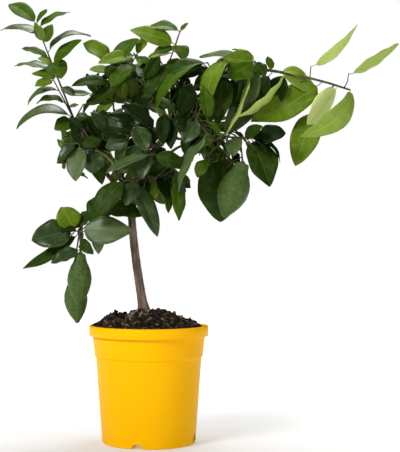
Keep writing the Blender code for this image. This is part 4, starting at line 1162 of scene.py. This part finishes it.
LEMON_PROFILE = (
    # share of the length from the stalk, share of the half width
    (0.0, 0.28), (0.03, 0.42), (0.15, 0.54), (0.29, 0.83), (0.45, 1.0),
    (0.59, 0.98), (0.75, 0.76), (0.87, 0.48), (0.94, 0.27), (1.0, 0.12),
)


def fruit_mesh(fruit):
    """A lemon: necked at the stalk, round in the middle, with a nipple at its end."""
    top, way, length, width = fruit
    points = [top + way * (length * share) for share, _ in LEMON_PROFILE]
    return tube(points, [width / 2 * half for _, half in LEMON_PROFILE], FRUIT_SIDES)

def shoot_line(start, reach, bend, count=2):
    """A shoot that covers its reach with a bend: it sags for a negative value."""
    normal = facing(reach, UP, 0)
    return [
        arc_point(start, reach, bend, normal, index / count)[0] for index in range(count + 1)
    ]


class Space:
    """The room a mass keeps to: its own ellipsoid, as far as no other claims it more."""

    def __init__(self, row):
        self.centre = Vector(row[:3])
        self.half = Vector(row[3:])

    def reach(self, point):
        off = point - self.centre
        return math.sqrt(sum((off[k] / self.half[k]) ** 2 for k in range(3)))


class Thicket:
    """Everything grown so far, so that what would touch it can be skipped."""

    def __init__(self):
        self.items = []

    def add(self, owner, verts, faces):
        low = Vector([min(v[k] for v in verts) for k in range(3)])
        high = Vector([max(v[k] for v in verts) for k in range(3)])
        self.items.append((owner, low, high, BVHTree.FromPolygons(verts, faces)))

    def touches(self, verts, faces, owner=None):
        """Whether the mesh cuts anything; owner's own things may be left out."""
        low = [min(v[k] for v in verts) for k in range(3)]
        high = [max(v[k] for v in verts) for k in range(3)]
        tree = None
        for other, other_low, other_high, other_tree in self.items:
            if owner is not None and other == owner:
                continue
            if any(low[k] > other_high[k] or high[k] < other_low[k] for k in range(3)):
                continue
            if tree is None:
                tree = BVHTree.FromPolygons(verts, faces)
            if tree.overlap(other_tree):
                return True
        return False


class Growth:
    """The whole plant's plan: limbs, and each mass's twigs, leaves and fruit."""

    def __init__(self):
        self.thicket = Thicket()
        self.spaces = {name: Space(mass["space"]) for name, mass in MASSES.items()}
        self.trunk = trunk_line()
        self.boughs = {name: bough_line(name) for name in BOUGHS}
        self.twigs = {name: [] for name in MASSES}
        self.leaves = {name: [] for name in MASSES}
        self.fruit = {name: [] for name in MASSES}
        for line, radii in [self.trunk] + list(self.boughs.values()):
            self.thicket.add("limb", *tube(line, [r + LIMB_CLEARANCE for r in radii], BOUGH_SIDES))
        for name in MASSES:
            self.place_shoots(name)
        for name in MASSES:
            self.place_outline(name)
        for name in MASSES:
            self.grow_by_rule(name)

    def start_of(self, name):
        """Where a mass's stem starts: a hair beyond its bough's tip."""
        bough = MASSES[name]["bough"]
        line, _ = self.trunk if bough == "trunk" else self.boughs[bough]
        way = (line[-1] - line[-2]).normalized()
        return line[-1] + way * GAP, way

    def taper(self, line, thick=TWIG_RADIUS):
        """Radii that shrink evenly to a twig's tip."""
        last = len(line) - 1
        return [thick + (TWIG_TIP_RADIUS - thick) * k / last for k in range(last + 1)]

    def place_shoots(self, name):
        """A mass's stem, its named shoots, and its fruit on their stalks."""
        mass = MASSES[name]
        start, way = self.start_of(name)
        x, y, z, bend = mass["stem"]
        line = shoot_line(start, Vector((x, y, z)), bend, 4)
        line.insert(1, start + way * STEM_LEAD)
        self.twigs[name].append((line, self.taper(line, mass["radius"])))
        for parent, station, x, y, z, bend in mass["shoots"]:
            foot, _ = along(self.twigs[name][parent][0], station)
            line = shoot_line(foot, Vector((x, y, z)), bend)
            self.twigs[name].append((line, self.taper(line)))
        for line, radii in self.twigs[name]:
            self.thicket.add(name, *tube(line[1:], radii[1:], TWIG_SIDES))
        for shoot, station, x, y, z, length, width, azimuth, lean in mass["fruit"]:
            foot, _ = along(self.twigs[name][shoot][0], station)
            stalk = shoot_line(foot, Vector((x, y, z)), STALK_BEND)
            self.twigs[name].append((stalk, STALK_RADII))
            way = heading(azimuth, -90 + lean)
            fruit = (stalk[-1] - way * STALK_SUNK, way, length, width)
            self.fruit[name].append(fruit)
            self.thicket.add(name, *fruit_mesh(fruit))

    def place_outline(self, name):
        """The named leaves, but for one that would cut another mass."""
        for shoot, station, x, y, z, arch, turn, ratio in MASSES[name]["leaves"]:
            foot, _ = along(self.twigs[name][shoot][0], station)
            reach = Vector((x, y, z))
            leaf = (foot, reach, arch, facing(reach, VIEWER, turn), reach.length * ratio)
            if not self.thicket.touches(*leaf_mesh(leaf, 3, CLEARANCE, CLEAR_FROM), owner=name):
                self.leaves[name].append((leaf, 3))
                self.thicket.add(name, *leaf_mesh(leaf, 3, 0.0, CLEAR_FROM))

    def free(self, name, mesh, whole):
        """Whether a mesh keeps to its space and touches nothing; whole has its foot as well."""
        space = self.spaces[name]
        others = [other for key, other in self.spaces.items() if key != name]
        for vert in mesh[0]:
            own = space.reach(vert)
            if own > 1.0 or any(own > other.reach(vert) for other in others):
                return False
        return not (self.thicket.touches(*mesh) or self.thicket.touches(*whole, owner=name))

    def grow_by_rule(self, name):
        """Twigs round the stem a golden angle apart, and leaves round each twig."""
        mass = MASSES[name]
        dice = random.Random(mass["seed"])
        count, length = mass["twigs"]
        stem, _ = self.twigs[name][0]
        carriers = list(range(1 + len(mass["shoots"])))
        phase = dice.uniform(0, 360)
        for number in range(count):
            station = TWIG_FIRST + TWIG_ROOM * (number + dice.random() * 0.5) / count
            foot, way = along(stem, station)
            for attempt in range(TRIES):
                out = self.sideways(way, phase + GOLDEN * number + TRY_TURN * attempt)
                opening = math.radians(dice.uniform(*TWIG_OPENING))
                aim = (way * math.cos(opening) + out * math.sin(opening) + UP * TWIG_LIFT).normalized()
                reach = aim * (length * dice.uniform(*SIZE_SPREAD) * TRY_SHRINK**attempt)
                line = shoot_line(foot, reach, dice.uniform(*TWIG_BEND))
                radii = self.taper(line)
                mesh = tube(line[1:], [r + CLEARANCE for r in radii[1:]], TWIG_SIDES)
                if self.free(name, mesh, tube(line, radii, TWIG_SIDES)):
                    self.twigs[name].append((line, radii))
                    self.thicket.add(name, *tube(line[1:], radii[1:], TWIG_SIDES))
                    carriers.append(len(self.twigs[name]) - 1)
                    break
        self.leaf_out(name, carriers, dice)

    def sideways(self, way, around):
        """A direction square to a twig's, at a turn round it."""
        across = way.cross(UP)
        if across.length < 0.1:
            across = way.orthogonal()
        return Quaternion(way, math.radians(around)) @ across.normalized()

    def seeded_leaf(self, foot, way, turn, opening, size, dice):
        """A leaf at a turn round its twig, opened from it, drooping, with its face to the light."""
        bend = math.radians(opening)
        aim = way * math.cos(bend) + self.sideways(way, turn) * math.sin(bend)
        reach = (aim - UP * dice.uniform(0.0, LEAF_DROOP)).normalized() * size
        normal = facing(reach, outward(foot), dice.gauss(0, LEAF_TILT))
        return foot, reach, dice.uniform(*LEAF_ARCH), normal, size * LEAF_RATIO

    def leaf_out(self, name, carriers, dice):
        """Leaves on the twigs in turn, tip first, a golden angle apart up each."""
        mass = MASSES[name]
        phases = {carrier: dice.uniform(0, 360) for carrier in carriers}
        grown = 0
        for number in range(LEAF_ROUNDS):
            for carrier in carriers:
                line, _ = self.twigs[name][carrier]
                total = sum((b - a).length for a, b in zip(line, line[1:]))
                station = 1.0 - number * LEAF_SPACING / total
                if station < LEAF_FIRST_STATION or grown >= mass["fill"]:
                    continue
                foot, way = along(line, station)
                for attempt in range(TRIES):
                    turn = phases[carrier] + GOLDEN * number + TRY_TURN * attempt
                    size = mass["leaf"] * dice.uniform(*SIZE_SPREAD) * TRY_SHRINK**attempt
                    opening = dice.uniform(*(LEAF_OPENING if number else TIP_OPENING))
                    leaf = self.seeded_leaf(foot, way, turn, opening, size, dice)
                    swollen = leaf_mesh(leaf, 2, CLEARANCE, CLEAR_FROM)
                    if self.free(name, swollen, leaf_mesh(leaf, 2)):
                        self.leaves[name].append((leaf, 2))
                        self.thicket.add(name, *leaf_mesh(leaf, 2, 0.0, CLEAR_FROM))
                        grown += 1
                        break

plan = Growth()

# More leaves for each mass than its solid has, on finer twigs in the same space: how many twigs
# and leaves are tried for, and the leaves' size beside the mass's own.
FINER = {
    "foliage_shoulder": (8, 16),
    "foliage_left_top": (9, 22),
    "foliage_crown": (11, 38),
    "foliage_right_top": (10, 36),
    "foliage_centre": (10, 34),
    "foliage_front_right": (10, 36),
    "lemon_right": (4, 7),
    "lemon_left": (2, 5),
    "hangers": (5, 10),
    "foliage_back_left": (12, 46),
    "foliage_back_right": (12, 46),
    "foliage_back": (11, 40),
    "foliage_low_back": (11, 38),
}
FINER_SIZE = (0.72, 1.2)
FINER_OPENING = (30, 95)
FINER_REACH = (18, 36)
FINER_SLIM = 0.55


def grow_on(plan, name, twigs, leaves):
    """The rule again: finer twigs from a mass's twigs, and leaves on them."""
    mass = MASSES[name]
    dice = random.Random(mass["seed"] + 500)
    carriers = []
    parents = list(range(len(plan.twigs[name])))
    for number in range(twigs):
        line, _ = plan.twigs[name][parents[number % len(parents)]]
        foot, way = along(line, dice.uniform(0.25, 0.9))
        for attempt in range(TRIES):
            out = plan.sideways(way, dice.uniform(0, 360))
            aim = (way * 0.5 + out + UP * 0.15).normalized()
            twig = shoot_line(foot, aim * dice.uniform(*FINER_REACH), dice.uniform(*TWIG_BEND), 4)
            later = tube(twig[1:], [1.2] * (len(twig) - 1), 3)
            if plan.free(name, later, tube(twig, [0.8] * len(twig), 3)):
                plan.twigs[name].append((twig, plan.taper(twig, 1.1)))
                carriers.append(len(plan.twigs[name]) - 1)
                break
    carriers += parents
    for number in range(leaves):
        line, _ = plan.twigs[name][carriers[number % len(carriers)]]
        foot, way = along(line, dice.uniform(0.25, 1.0))
        for attempt in range(TRIES):
            turn = GOLDEN * number + TRY_TURN * attempt
            size = mass["leaf"] * dice.uniform(*FINER_SIZE) * TRY_SHRINK**attempt
            leaf = plan.seeded_leaf(foot, way, turn, dice.uniform(*FINER_OPENING), size, dice)
            slim = (*leaf[:4], leaf[4] * FINER_SLIM)
            later = leaf_mesh(slim, 2, 0.0, 0.2)
            if plan.free(name, later, leaf_mesh(slim, 2)):
                plan.leaves[name].append((leaf, 2))
                plan.thicket.add(name, *later)
                break


for name, (count, leaves) in FINER.items():
    grow_on(plan, name, count, leaves)


# The twigs' thickness beside the plan's: the long one at the right is the stoutest, and the two
# that stand on it are as thin as stalks.
TWIG_FULL = {("shoots_right", 0): 1.5, ("shoots_right", 1): 0.7, ("shoots_right", 2): 0.7}

twig_meshes = []
for name in MASSES:
    for number, (line, radii) in enumerate(plan.twigs[name]):
        full = TWIG_FULL.get((name, number), 0.95)
        twig_meshes.append(tube(line, [radius * full for radius in radii], 8))
twigs = put("green_twigs", *joined(twig_meshes), [wood])
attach(twigs, "root")

# A blade's columns across it: from the margin in to the midrib, as shares of the half width.
COLUMNS = (-1.0, -0.72, -0.40, -0.05, 0.0, 0.05, 0.40, 0.72, 1.0)
VEINS = 7.0
BLADE_KEEL = (2, 24)
BLADE_WAVE = (0.01, 0.05)
BLADE_TWIST = 12
BLADE_FULL = 1.08
SEEDED_KEEL = (4, 36)
SEEDED_WAVE = (0.03, 0.10)
SEEDED_TWIST = 24
SEEDED_FULL = (0.95, 1.3)


def blade_outline(share):
    """A citrus blade's half width: fullest at its middle, with a short pointed tip."""
    return 2.7 * share**0.62 * (1 - share) ** 0.84


def fine_leaf(leaf, rows, folds, dice):
    """A blade with a folded midrib, sunk side veins and a waved margin; thin, with two sides.

    The faces' slots are 0 on the upper side, 1 on the underside and 2 on midrib and stalk.
    """
    base, reach, arch, normal, width = leaf
    length = reach.length
    side = reach.normalized().cross(normal)
    keels, waves, turning = folds
    keel = math.tan(math.radians(dice.uniform(*keels)))
    wave = dice.uniform(*waves) * width
    beats = dice.uniform(1.6, 3.2)
    phase = dice.uniform(0, 2 * math.pi)
    twist = math.radians(dice.gauss(0, turning))
    thin = max(0.004 * length, 0.25)
    upper = []
    shares = [PETIOLE_SHARE + (1 - PETIOLE_SHARE) * (1 - math.cos(math.pi * k / rows)) / 2 for k in range(rows)]
    for share in shares:
        point, out = arc_point(base, reach, arch, normal, share)
        blade = (share - PETIOLE_SHARE) / (1 - PETIOLE_SHARE)
        half = max(width / 2 * blade_outline(blade), PETIOLE_RADIUS)
        turn = twist * (blade - 0.5)
        across = side * math.cos(turn) + out * math.sin(turn)
        away = out * math.cos(turn) - side * math.sin(turn)
        row = []
        for column in COLUMNS:
            edge = abs(column)
            vein = 0.012 * width * math.sin(2 * math.pi * (VEINS * blade - 1.1 * edge)) * edge * (1 - edge) * 4
            ripple = wave * math.sin(2 * math.pi * beats * blade + phase + (0 if column < 0 else 2.1)) * edge**3
            lift = half * keel * (edge - 0.32 * edge * edge) + vein + ripple
            row.append(point + across * half * column + away * (lift + thin / 2))
        upper.append((row, away))
    tip, out = arc_point(base, reach, arch, normal, 1.0)
    verts = []
    count = len(COLUMNS)
    for row, away in upper:
        verts += row
        verts += [vert - away * thin * (1.0 + 1.6 * (1 - abs(column)) ** 6) for vert, column in zip(row, COLUMNS)]
    verts.append(tip)
    faces = []
    slots = []
    wide = 2 * count
    for k in range(rows - 1):
        for c in range(count - 1):
            rib = 2 if abs(COLUMNS[c] + COLUMNS[c + 1]) < 0.2 else 0
            a = k * wide + c
            faces.append((a, a + 1, a + 1 + wide, a + wide))
            slots.append(rib)
            b = a + count
            faces.append((b, b + wide, b + 1 + wide, b + 1))
            slots.append(2 if rib else 1)
        for edge, flip in ((0, False), (count - 1, True)):
            a = k * wide + edge
            face = (a, a + wide, a + wide + count, a + count)
            faces.append(face[::-1] if flip else face)
            slots.append(1)
    last = (rows - 1) * wide
    for c in range(count - 1):
        faces.append((last + c, last + c + 1, len(verts) - 1))
        slots.append(0)
        faces.append((last + count + c + 1, last + count + c, len(verts) - 1))
        slots.append(1)
    faces.append((last, len(verts) - 1, last + count))
    faces.append((last + count - 1, last + 2 * count - 1, len(verts) - 1))
    slots += [1, 1]
    faces.append(tuple(range(count)) [::-1] + tuple(range(count, 2 * count)))
    slots.append(2)
    stem = [arc_point(base, reach, arch, normal, PETIOLE_SHARE * share / 3)[0] for share in range(5)]
    stalk, sides = tube(stem, [1.0, 0.8, 0.75, 0.8, 0.6], 6)
    faces += [tuple(len(verts) + k for k in face) for face in sides]
    slots += [2] * len(sides)
    return verts + stalk, faces, slots


# The leaf tones are lit and shaded copies of one leaf colour, so they hold painted light and shade
# besides some difference of tone from leaf to leaf: 'shade' and 'deep' are painted shade for leaves
# in shadow; 'bright', 'lime', 'pale', 'glow' and 'lit' are painted light, lighter step by step, for
# leaves in the sun and leaves lit from behind; 'dusky' and 'sage' are greyed as painted sheen.
# Which tone each spray has; a leaf of the outline may have its own.
LIT_AND_SHADED_TONES = {
    "shade": ("#111f04", "#243413", "#1c2c0b", 0.40, 0.04),
    "deep": ("#243808", "#435428", "#374a18", 0.38, 0.05),
    "dusky": ("#2b3c1c", "#4d5d38", "#3d502c", 0.32, 0.24),
    "green": ("#38510b", "#566b2b", "#4c6420", 0.38, 0.05),
    "sage": ("#44562d", "#5f6f45", "#536538", 0.36, 0.24),
    "bright": ("#576f17", "#728a38", "#698232", 0.40, 0.05),
    "lime": ("#687d1a", "#829a40", "#7a9032", 0.40, 0.05),
    "pale": ("#7a9138", "#8fa450", "#8ba24c", 0.44, 0.05),
    "glow": ("#9fb353", "#afc06a", "#aabe62", 0.46, 0.05),
    "lit": ("#cad983", "#cddb8c", "#cad784", 0.48, 0.05),
}
# Painted shade and light by spray: the sprays inside and under the crown (shoulder, centre, front right, hangers
# and both lemons) draw dark tones for the shade that falls there, and the long shoots at the right draw pale
# tones as painted light.
SPRAY_LIT_AND_SHADED_TONES = {
    "shoots_left": ("bright", "green"),
    "foliage_shoulder": ("deep", "dusky", "shade", "shade"),
    "foliage_left_top": ("green", "bright", "deep"),
    "foliage_crown": ("green", "deep", "bright", "shade"),
    "foliage_right_top": ("deep", "green", "deep"),
    "shoots_right": ("pale", "bright"),
    "foliage_centre": ("deep", "shade", "shade", "dusky"),
    "foliage_front_right": ("deep", "shade", "green"),
    "lemon_right": ("deep", "shade"),
    "hangers": ("shade", "deep"),
    "lemon_left": ("shade", "deep"),
    "foliage_back_left": ("green", "deep", "bright"),
    "foliage_back_right": ("green", "deep", "bright"),
    "foliage_back": ("green", "bright", "deep"),
    "foliage_low_back": ("deep", "green"),
}
# Painted light and shade leaf by leaf: each outline leaf has the tone for the light on it, pale where it stands
# in the sun or is lit from behind, dark where it lies in shadow, greyed where a sheen is painted.
LEAF_LIT_AND_SHADED_TONES = {
    "shoots_left": (
        "green", "green", "green", "sage", "green", "green", "sage", "green", "green", "pale",
        "sage", "bright", "green", "deep", "bright", "sage", "green", "sage", "deep", "dusky",
        "green", "deep", "sage", "sage",
    ),
    "foliage_shoulder": (
        "dusky", "sage", "dusky", "deep", "dusky", "dusky", "dusky", "deep",
    ),
    "foliage_left_top": (
        "bright", "green", "bright", "bright", "deep", "green", "bright", "bright", "green",
    ),
    "foliage_crown": (
        "bright", "green", "green", "green", "green", "pale", "deep", "shade",
    ),
    "foliage_right_top": (
        "bright", "pale", "green", "bright", "deep", "glow", "sage", "green", "green", "deep",
        "deep",
    ),
    "shoots_right": (
        "glow", "lime", "bright", "lit", "pale", "bright", "glow", "pale", "green", "sage",
        "pale", "deep",
    ),
    "foliage_centre": ("sage", "deep", "dusky", "dusky", "dusky"),
    "foliage_front_right": ("sage", "shade", "shade", "dusky"),
    "lemon_right": ("deep", "deep", "shade", "shade", "shade", "deep", "sage", "green"),
    "hangers": ("dusky", "deep", "dusky", "dusky", "green", "green", "dusky", "bright"),
    "lemon_left": ("bright", "dusky", "deep", "dusky", "sage", "sage", "deep", "deep"),
}

# Leaves that stand a little otherwise than in the plan: a roll in degrees, and their width.
LEAF_ROLLS = {("shoots_right", 3): (14, 1.1), ("shoots_right", 5): (0, 0.86)}

dice = random.Random(71)
blades = {tone: ([], [], []) for tone in LIT_AND_SHADED_TONES}
for name in MASSES:
    for number, (leaf, stations) in enumerate(plan.leaves[name]):
        base, reach, arch, normal, width = leaf
        roll, full = LEAF_ROLLS.get((name, number), (0, 1.0))
        leaf = (base, reach, arch, Quaternion(reach.normalized(), math.radians(roll)) @ normal, width * full)
        named = LEAF_LIT_AND_SHADED_TONES.get(name, ())
        tone = named[number] if number < len(named) else dice.choice(SPRAY_LIT_AND_SHADED_TONES[name])
        if stations == 3:
            leaf = (*leaf[:4], leaf[4] * BLADE_FULL)
            points, faces, slots = fine_leaf(leaf, 20, (BLADE_KEEL, BLADE_WAVE, BLADE_TWIST), dice)
        else:
            leaf = (*leaf[:4], leaf[4] * dice.uniform(*SEEDED_FULL))
            points, faces, slots = fine_leaf(leaf, 9, (SEEDED_KEEL, SEEDED_WAVE, SEEDED_TWIST), dice)
        verts, sides, kinds = blades[tone]
        sides += [tuple(len(verts) + k for k in face) for face in faces]
        verts += points
        kinds += slots

for tone, (verts, sides, kinds) in blades.items():
    upper_code, under_code, rib_code, gloss, wax = LIT_AND_SHADED_TONES[tone]
    # Citrus leaf: a leathery blade under clear wax, glossy above, matt and paler below. Its colours are
    # one of the lit and shaded copies, so its base colours carry that copy's painted light and shade.
    upper, tree, shader = finish("waxed_leaf_" + tone, upper_code, gloss, IOR=1.45, Specular_IOR_Level=wax)
    shade = ramp(tree, mottle(tree, 13.0, 3.0), (0.48, upper_code), (0.9, under_code))
    tree.links.new(shade, shader.inputs["Base Color"])
    relief(tree, shader, mottle(tree, 3.0, 3.0), 0.06)
    under, tree, shader = finish("leaf_underside_" + tone, under_code, 0.6, IOR=1.42, Specular_IOR_Level=0.05)
    relief(tree, shader, mottle(tree, 3.4, 3.0), 0.05)
    rib, tree, shader = finish("midrib_" + tone, rib_code, 0.5, IOR=1.42, Specular_IOR_Level=0.06)
    piece = put("leaves_" + tone, verts, sides, [upper, under, rib], True, kinds)
    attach(piece, "root")
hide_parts(*MASSES)


# The lemons: green, unripe, thick-skinned fruit with pitted rind, a neck at the stalk and a
# nipple at the far end. Each hangs from its twig by a short stalk with a small green button.

def lemon_half(share):
    """The lemon's half width at a share of its length, on a smooth curve through its profile."""
    places = [place for place, _ in LEMON_PROFILE]
    index = max(k for k in range(len(places) - 1) if places[k] <= share)
    (s0, h0), (s1, h1) = LEMON_PROFILE[index : index + 2]
    before = LEMON_PROFILE[max(index - 1, 0)]
    after = LEMON_PROFILE[min(index + 2, len(places) - 1)]
    t = (share - s0) / (s1 - s0)
    slope0 = (h1 - before[1]) / (s1 - before[0]) * (s1 - s0)
    slope1 = (after[1] - h0) / (after[0] - s0) * (s1 - s0)
    return (
        h0 * (2 * t**3 - 3 * t * t + 1) + slope0 * (t**3 - 2 * t * t + t)
        + h1 * (3 * t * t - 2 * t**3) + slope1 * (t**3 - t * t)
    )


def lemon(fruit, seed):
    """A lemon's skin with its uneven swell and fine pits."""
    top, way, length, width = fruit
    rings = 46
    sides = 44
    across = way.orthogonal().normalized()
    other = way.cross(across)
    drift = Vector((seed, 7.0 * seed, 3.0))
    verts = []
    rows = []
    for ring in range(rings + 1):
        share = ring / rings
        half = width / 2 * lemon_half(share)
        count = sides if 0 < ring < rings else 1
        rows.append(list(range(len(verts), len(verts) + count)))
        for segment in range(count):
            angle = 2 * math.pi * segment / sides
            out = across * math.cos(angle) + other * math.sin(angle)
            if count == 1:
                verts.append(top + way * (length * share))
                continue
            place = (out * half + way * length * share) / 5.0 + drift
            swell = 1.0 + 0.03 * noise.noise(out * 1.2 + way * share * 2 + drift)
            lumps = 0.45 * noise.noise(place) + 0.3 * noise.noise(place * 2.6)
            verts.append(top + way * (length * share) + out * (half * swell + lumps))
    return verts, skin(rows)


fruit_meshes = []
buttons = []
for name in MASSES:
    for number, fruit in enumerate(plan.fruit[name]):
        verts, faces = lemon(fruit, 3 * len(fruit_meshes) + 1)
        fruit_meshes.append((verts, faces))
        top, way, _, _ = fruit
        ends = [top - way * 2.0, top + way * 0.6, top + way * 1.8]
        buttons.append(tube(ends, [1.8, 4.2, 3.4], 10))

# Lemon rind: oily and satin, dark green and a little mottled, with pits of about a millimetre and a half in its
# relief.
rind, tree, shader = finish("green_lemon_rind", "#3d5126", 0.46, IOR=1.47, Specular_IOR_Level=0.1)
shade = ramp(tree, mottle(tree, 5.0, 4.0), (0.25, "#384b23"), (0.5, "#425728"), (0.8, "#546934"))
tree.links.new(shade, shader.inputs["Base Color"])
place = add(tree, "ShaderNodeTexCoord").outputs["Object"]
pits = add(tree, "ShaderNodeTexVoronoi", {"Vector": place, "Scale": 1000.0 / 2.4}, feature="SMOOTH_F1")
relief(tree, shader, pits.outputs["Distance"], 0.6)

lemons = put("green_lemons", *joined(fruit_meshes), [rind])
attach(lemons, "root")

calyx = put("lemon_buttons", *joined(buttons), [wood])
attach(calyx, "root")


# The studio: a pale floor that runs out into white on every side, a soft light from the left
# front, a weaker one from the right, one overhead, and a camera at the photograph's place.

FLOOR_HALF = 5000.0
FLOOR_PLAIN = 0.1
FLOOR_WHITE = 1.3
GLOW_NEAR = 0.3
GLOW_FAR = 1.0
WALL_LIGHT = 0.03

# Matt paper that glows, painted light with no lamp in it: faintly round the tree, where the glow
# lightens the tree's shadow on it, and more with distance, so that its far edge goes into white.
paper, tree, shader = finish("pale_studio_paper", "#c4c4c3", 0.9, Emission_Color=linear("#ffffff"))
place = add(tree, "ShaderNodeTexCoord").outputs["Object"]
away = add(tree, "ShaderNodeVectorMath", {0: place}, operation="LENGTH")
glow = add(
    tree, "ShaderNodeMapRange",
    {
        "Value": away.outputs["Value"], "From Min": FLOOR_PLAIN, "From Max": FLOOR_WHITE,
        "To Min": GLOW_NEAR, "To Max": GLOW_FAR,
    },
    interpolation_type="SMOOTHSTEP",
)
tree.links.new(glow.outputs["Result"], shader.inputs["Emission Strength"])
corners = [Vector((x * FLOOR_HALF, y * FLOOR_HALF, 0.0)) for x, y in ((-1, -1), (1, -1), (1, 1), (-1, 1))]
floor = put("floor", corners, [(0, 1, 2, 3)], [paper], False)

CAMERA = Vector((0.0, -1700.0, 306.0))
IMAGE_WIDTH = 400
FOCAL_PIXELS = 1064.0
AXIS_PIXEL = 148.8
HORIZON_PIXEL = 250.0
IMAGE_HEIGHT = 452
camera_data = bpy.data.cameras.new("camera")
camera_data.sensor_fit = "HORIZONTAL"
camera_data.sensor_width = 36.0
camera_data.lens = FOCAL_PIXELS / IMAGE_WIDTH * 36.0
camera_data.shift_x = (IMAGE_WIDTH / 2 - AXIS_PIXEL) / IMAGE_WIDTH
camera_data.shift_y = (HORIZON_PIXEL - IMAGE_HEIGHT / 2) / IMAGE_WIDTH
camera_data.clip_end = 20.0
camera = bpy.data.objects.new("camera", camera_data)
bpy.context.scene.collection.objects.link(camera)
camera.location = CAMERA * MM
camera.rotation_euler = (math.radians(90), 0.0, 0.0)
bpy.context.scene.camera = camera


def soft_light(name, place, size, watts, aim=(0.0, 0.0, 0.4)):
    """An area light that faces the middle of the tree, or another place."""
    data = bpy.data.lights.new(name, "AREA")
    data.size = size
    data.energy = watts
    lamp = bpy.data.objects.new(name, data)
    bpy.context.scene.collection.objects.link(lamp)
    lamp.location = Vector(place)
    lamp.rotation_euler = (Vector(aim) - lamp.location).to_track_quat("-Z", "Y").to_euler()


soft_light("key_light", (-1.5, -1.7, 1.7), 0.9, 60)
soft_light("fill_light", (1.7, -1.5, 0.45), 1.2, 13)
soft_light("top_light", (0.2, 0.5, 2.4), 1.0, 38)
soft_light("back_light", (0.0, 1.2, 2.9), 1.6, 40, (0.0, 2.4, 0.7))

# White walls far off: the eye sees them white, and the tree gets a little of their light.
world = bpy.data.worlds.new("studio")
bpy.context.scene.world = world
world.use_nodes = True
tree = world.node_tree
dim = tree.nodes["Background"]
dim.inputs["Color"].default_value = linear("#ffffff")
dim.inputs["Strength"].default_value = WALL_LIGHT
walls = add(tree, "ShaderNodeBackground", {"Color": linear("#ffffff"), "Strength": 1.0})
seen = add(
    tree, "ShaderNodeMixShader",
    {
        0: add(tree, "ShaderNodeLightPath").outputs["Is Camera Ray"],
        1: dim.outputs["Background"],
        2: walls.outputs["Background"],
    },
)
tree.links.new(seen.outputs["Shader"], tree.nodes["World Output"].inputs["Surface"])
bpy.context.scene.view_settings.view_transform = "Standard"
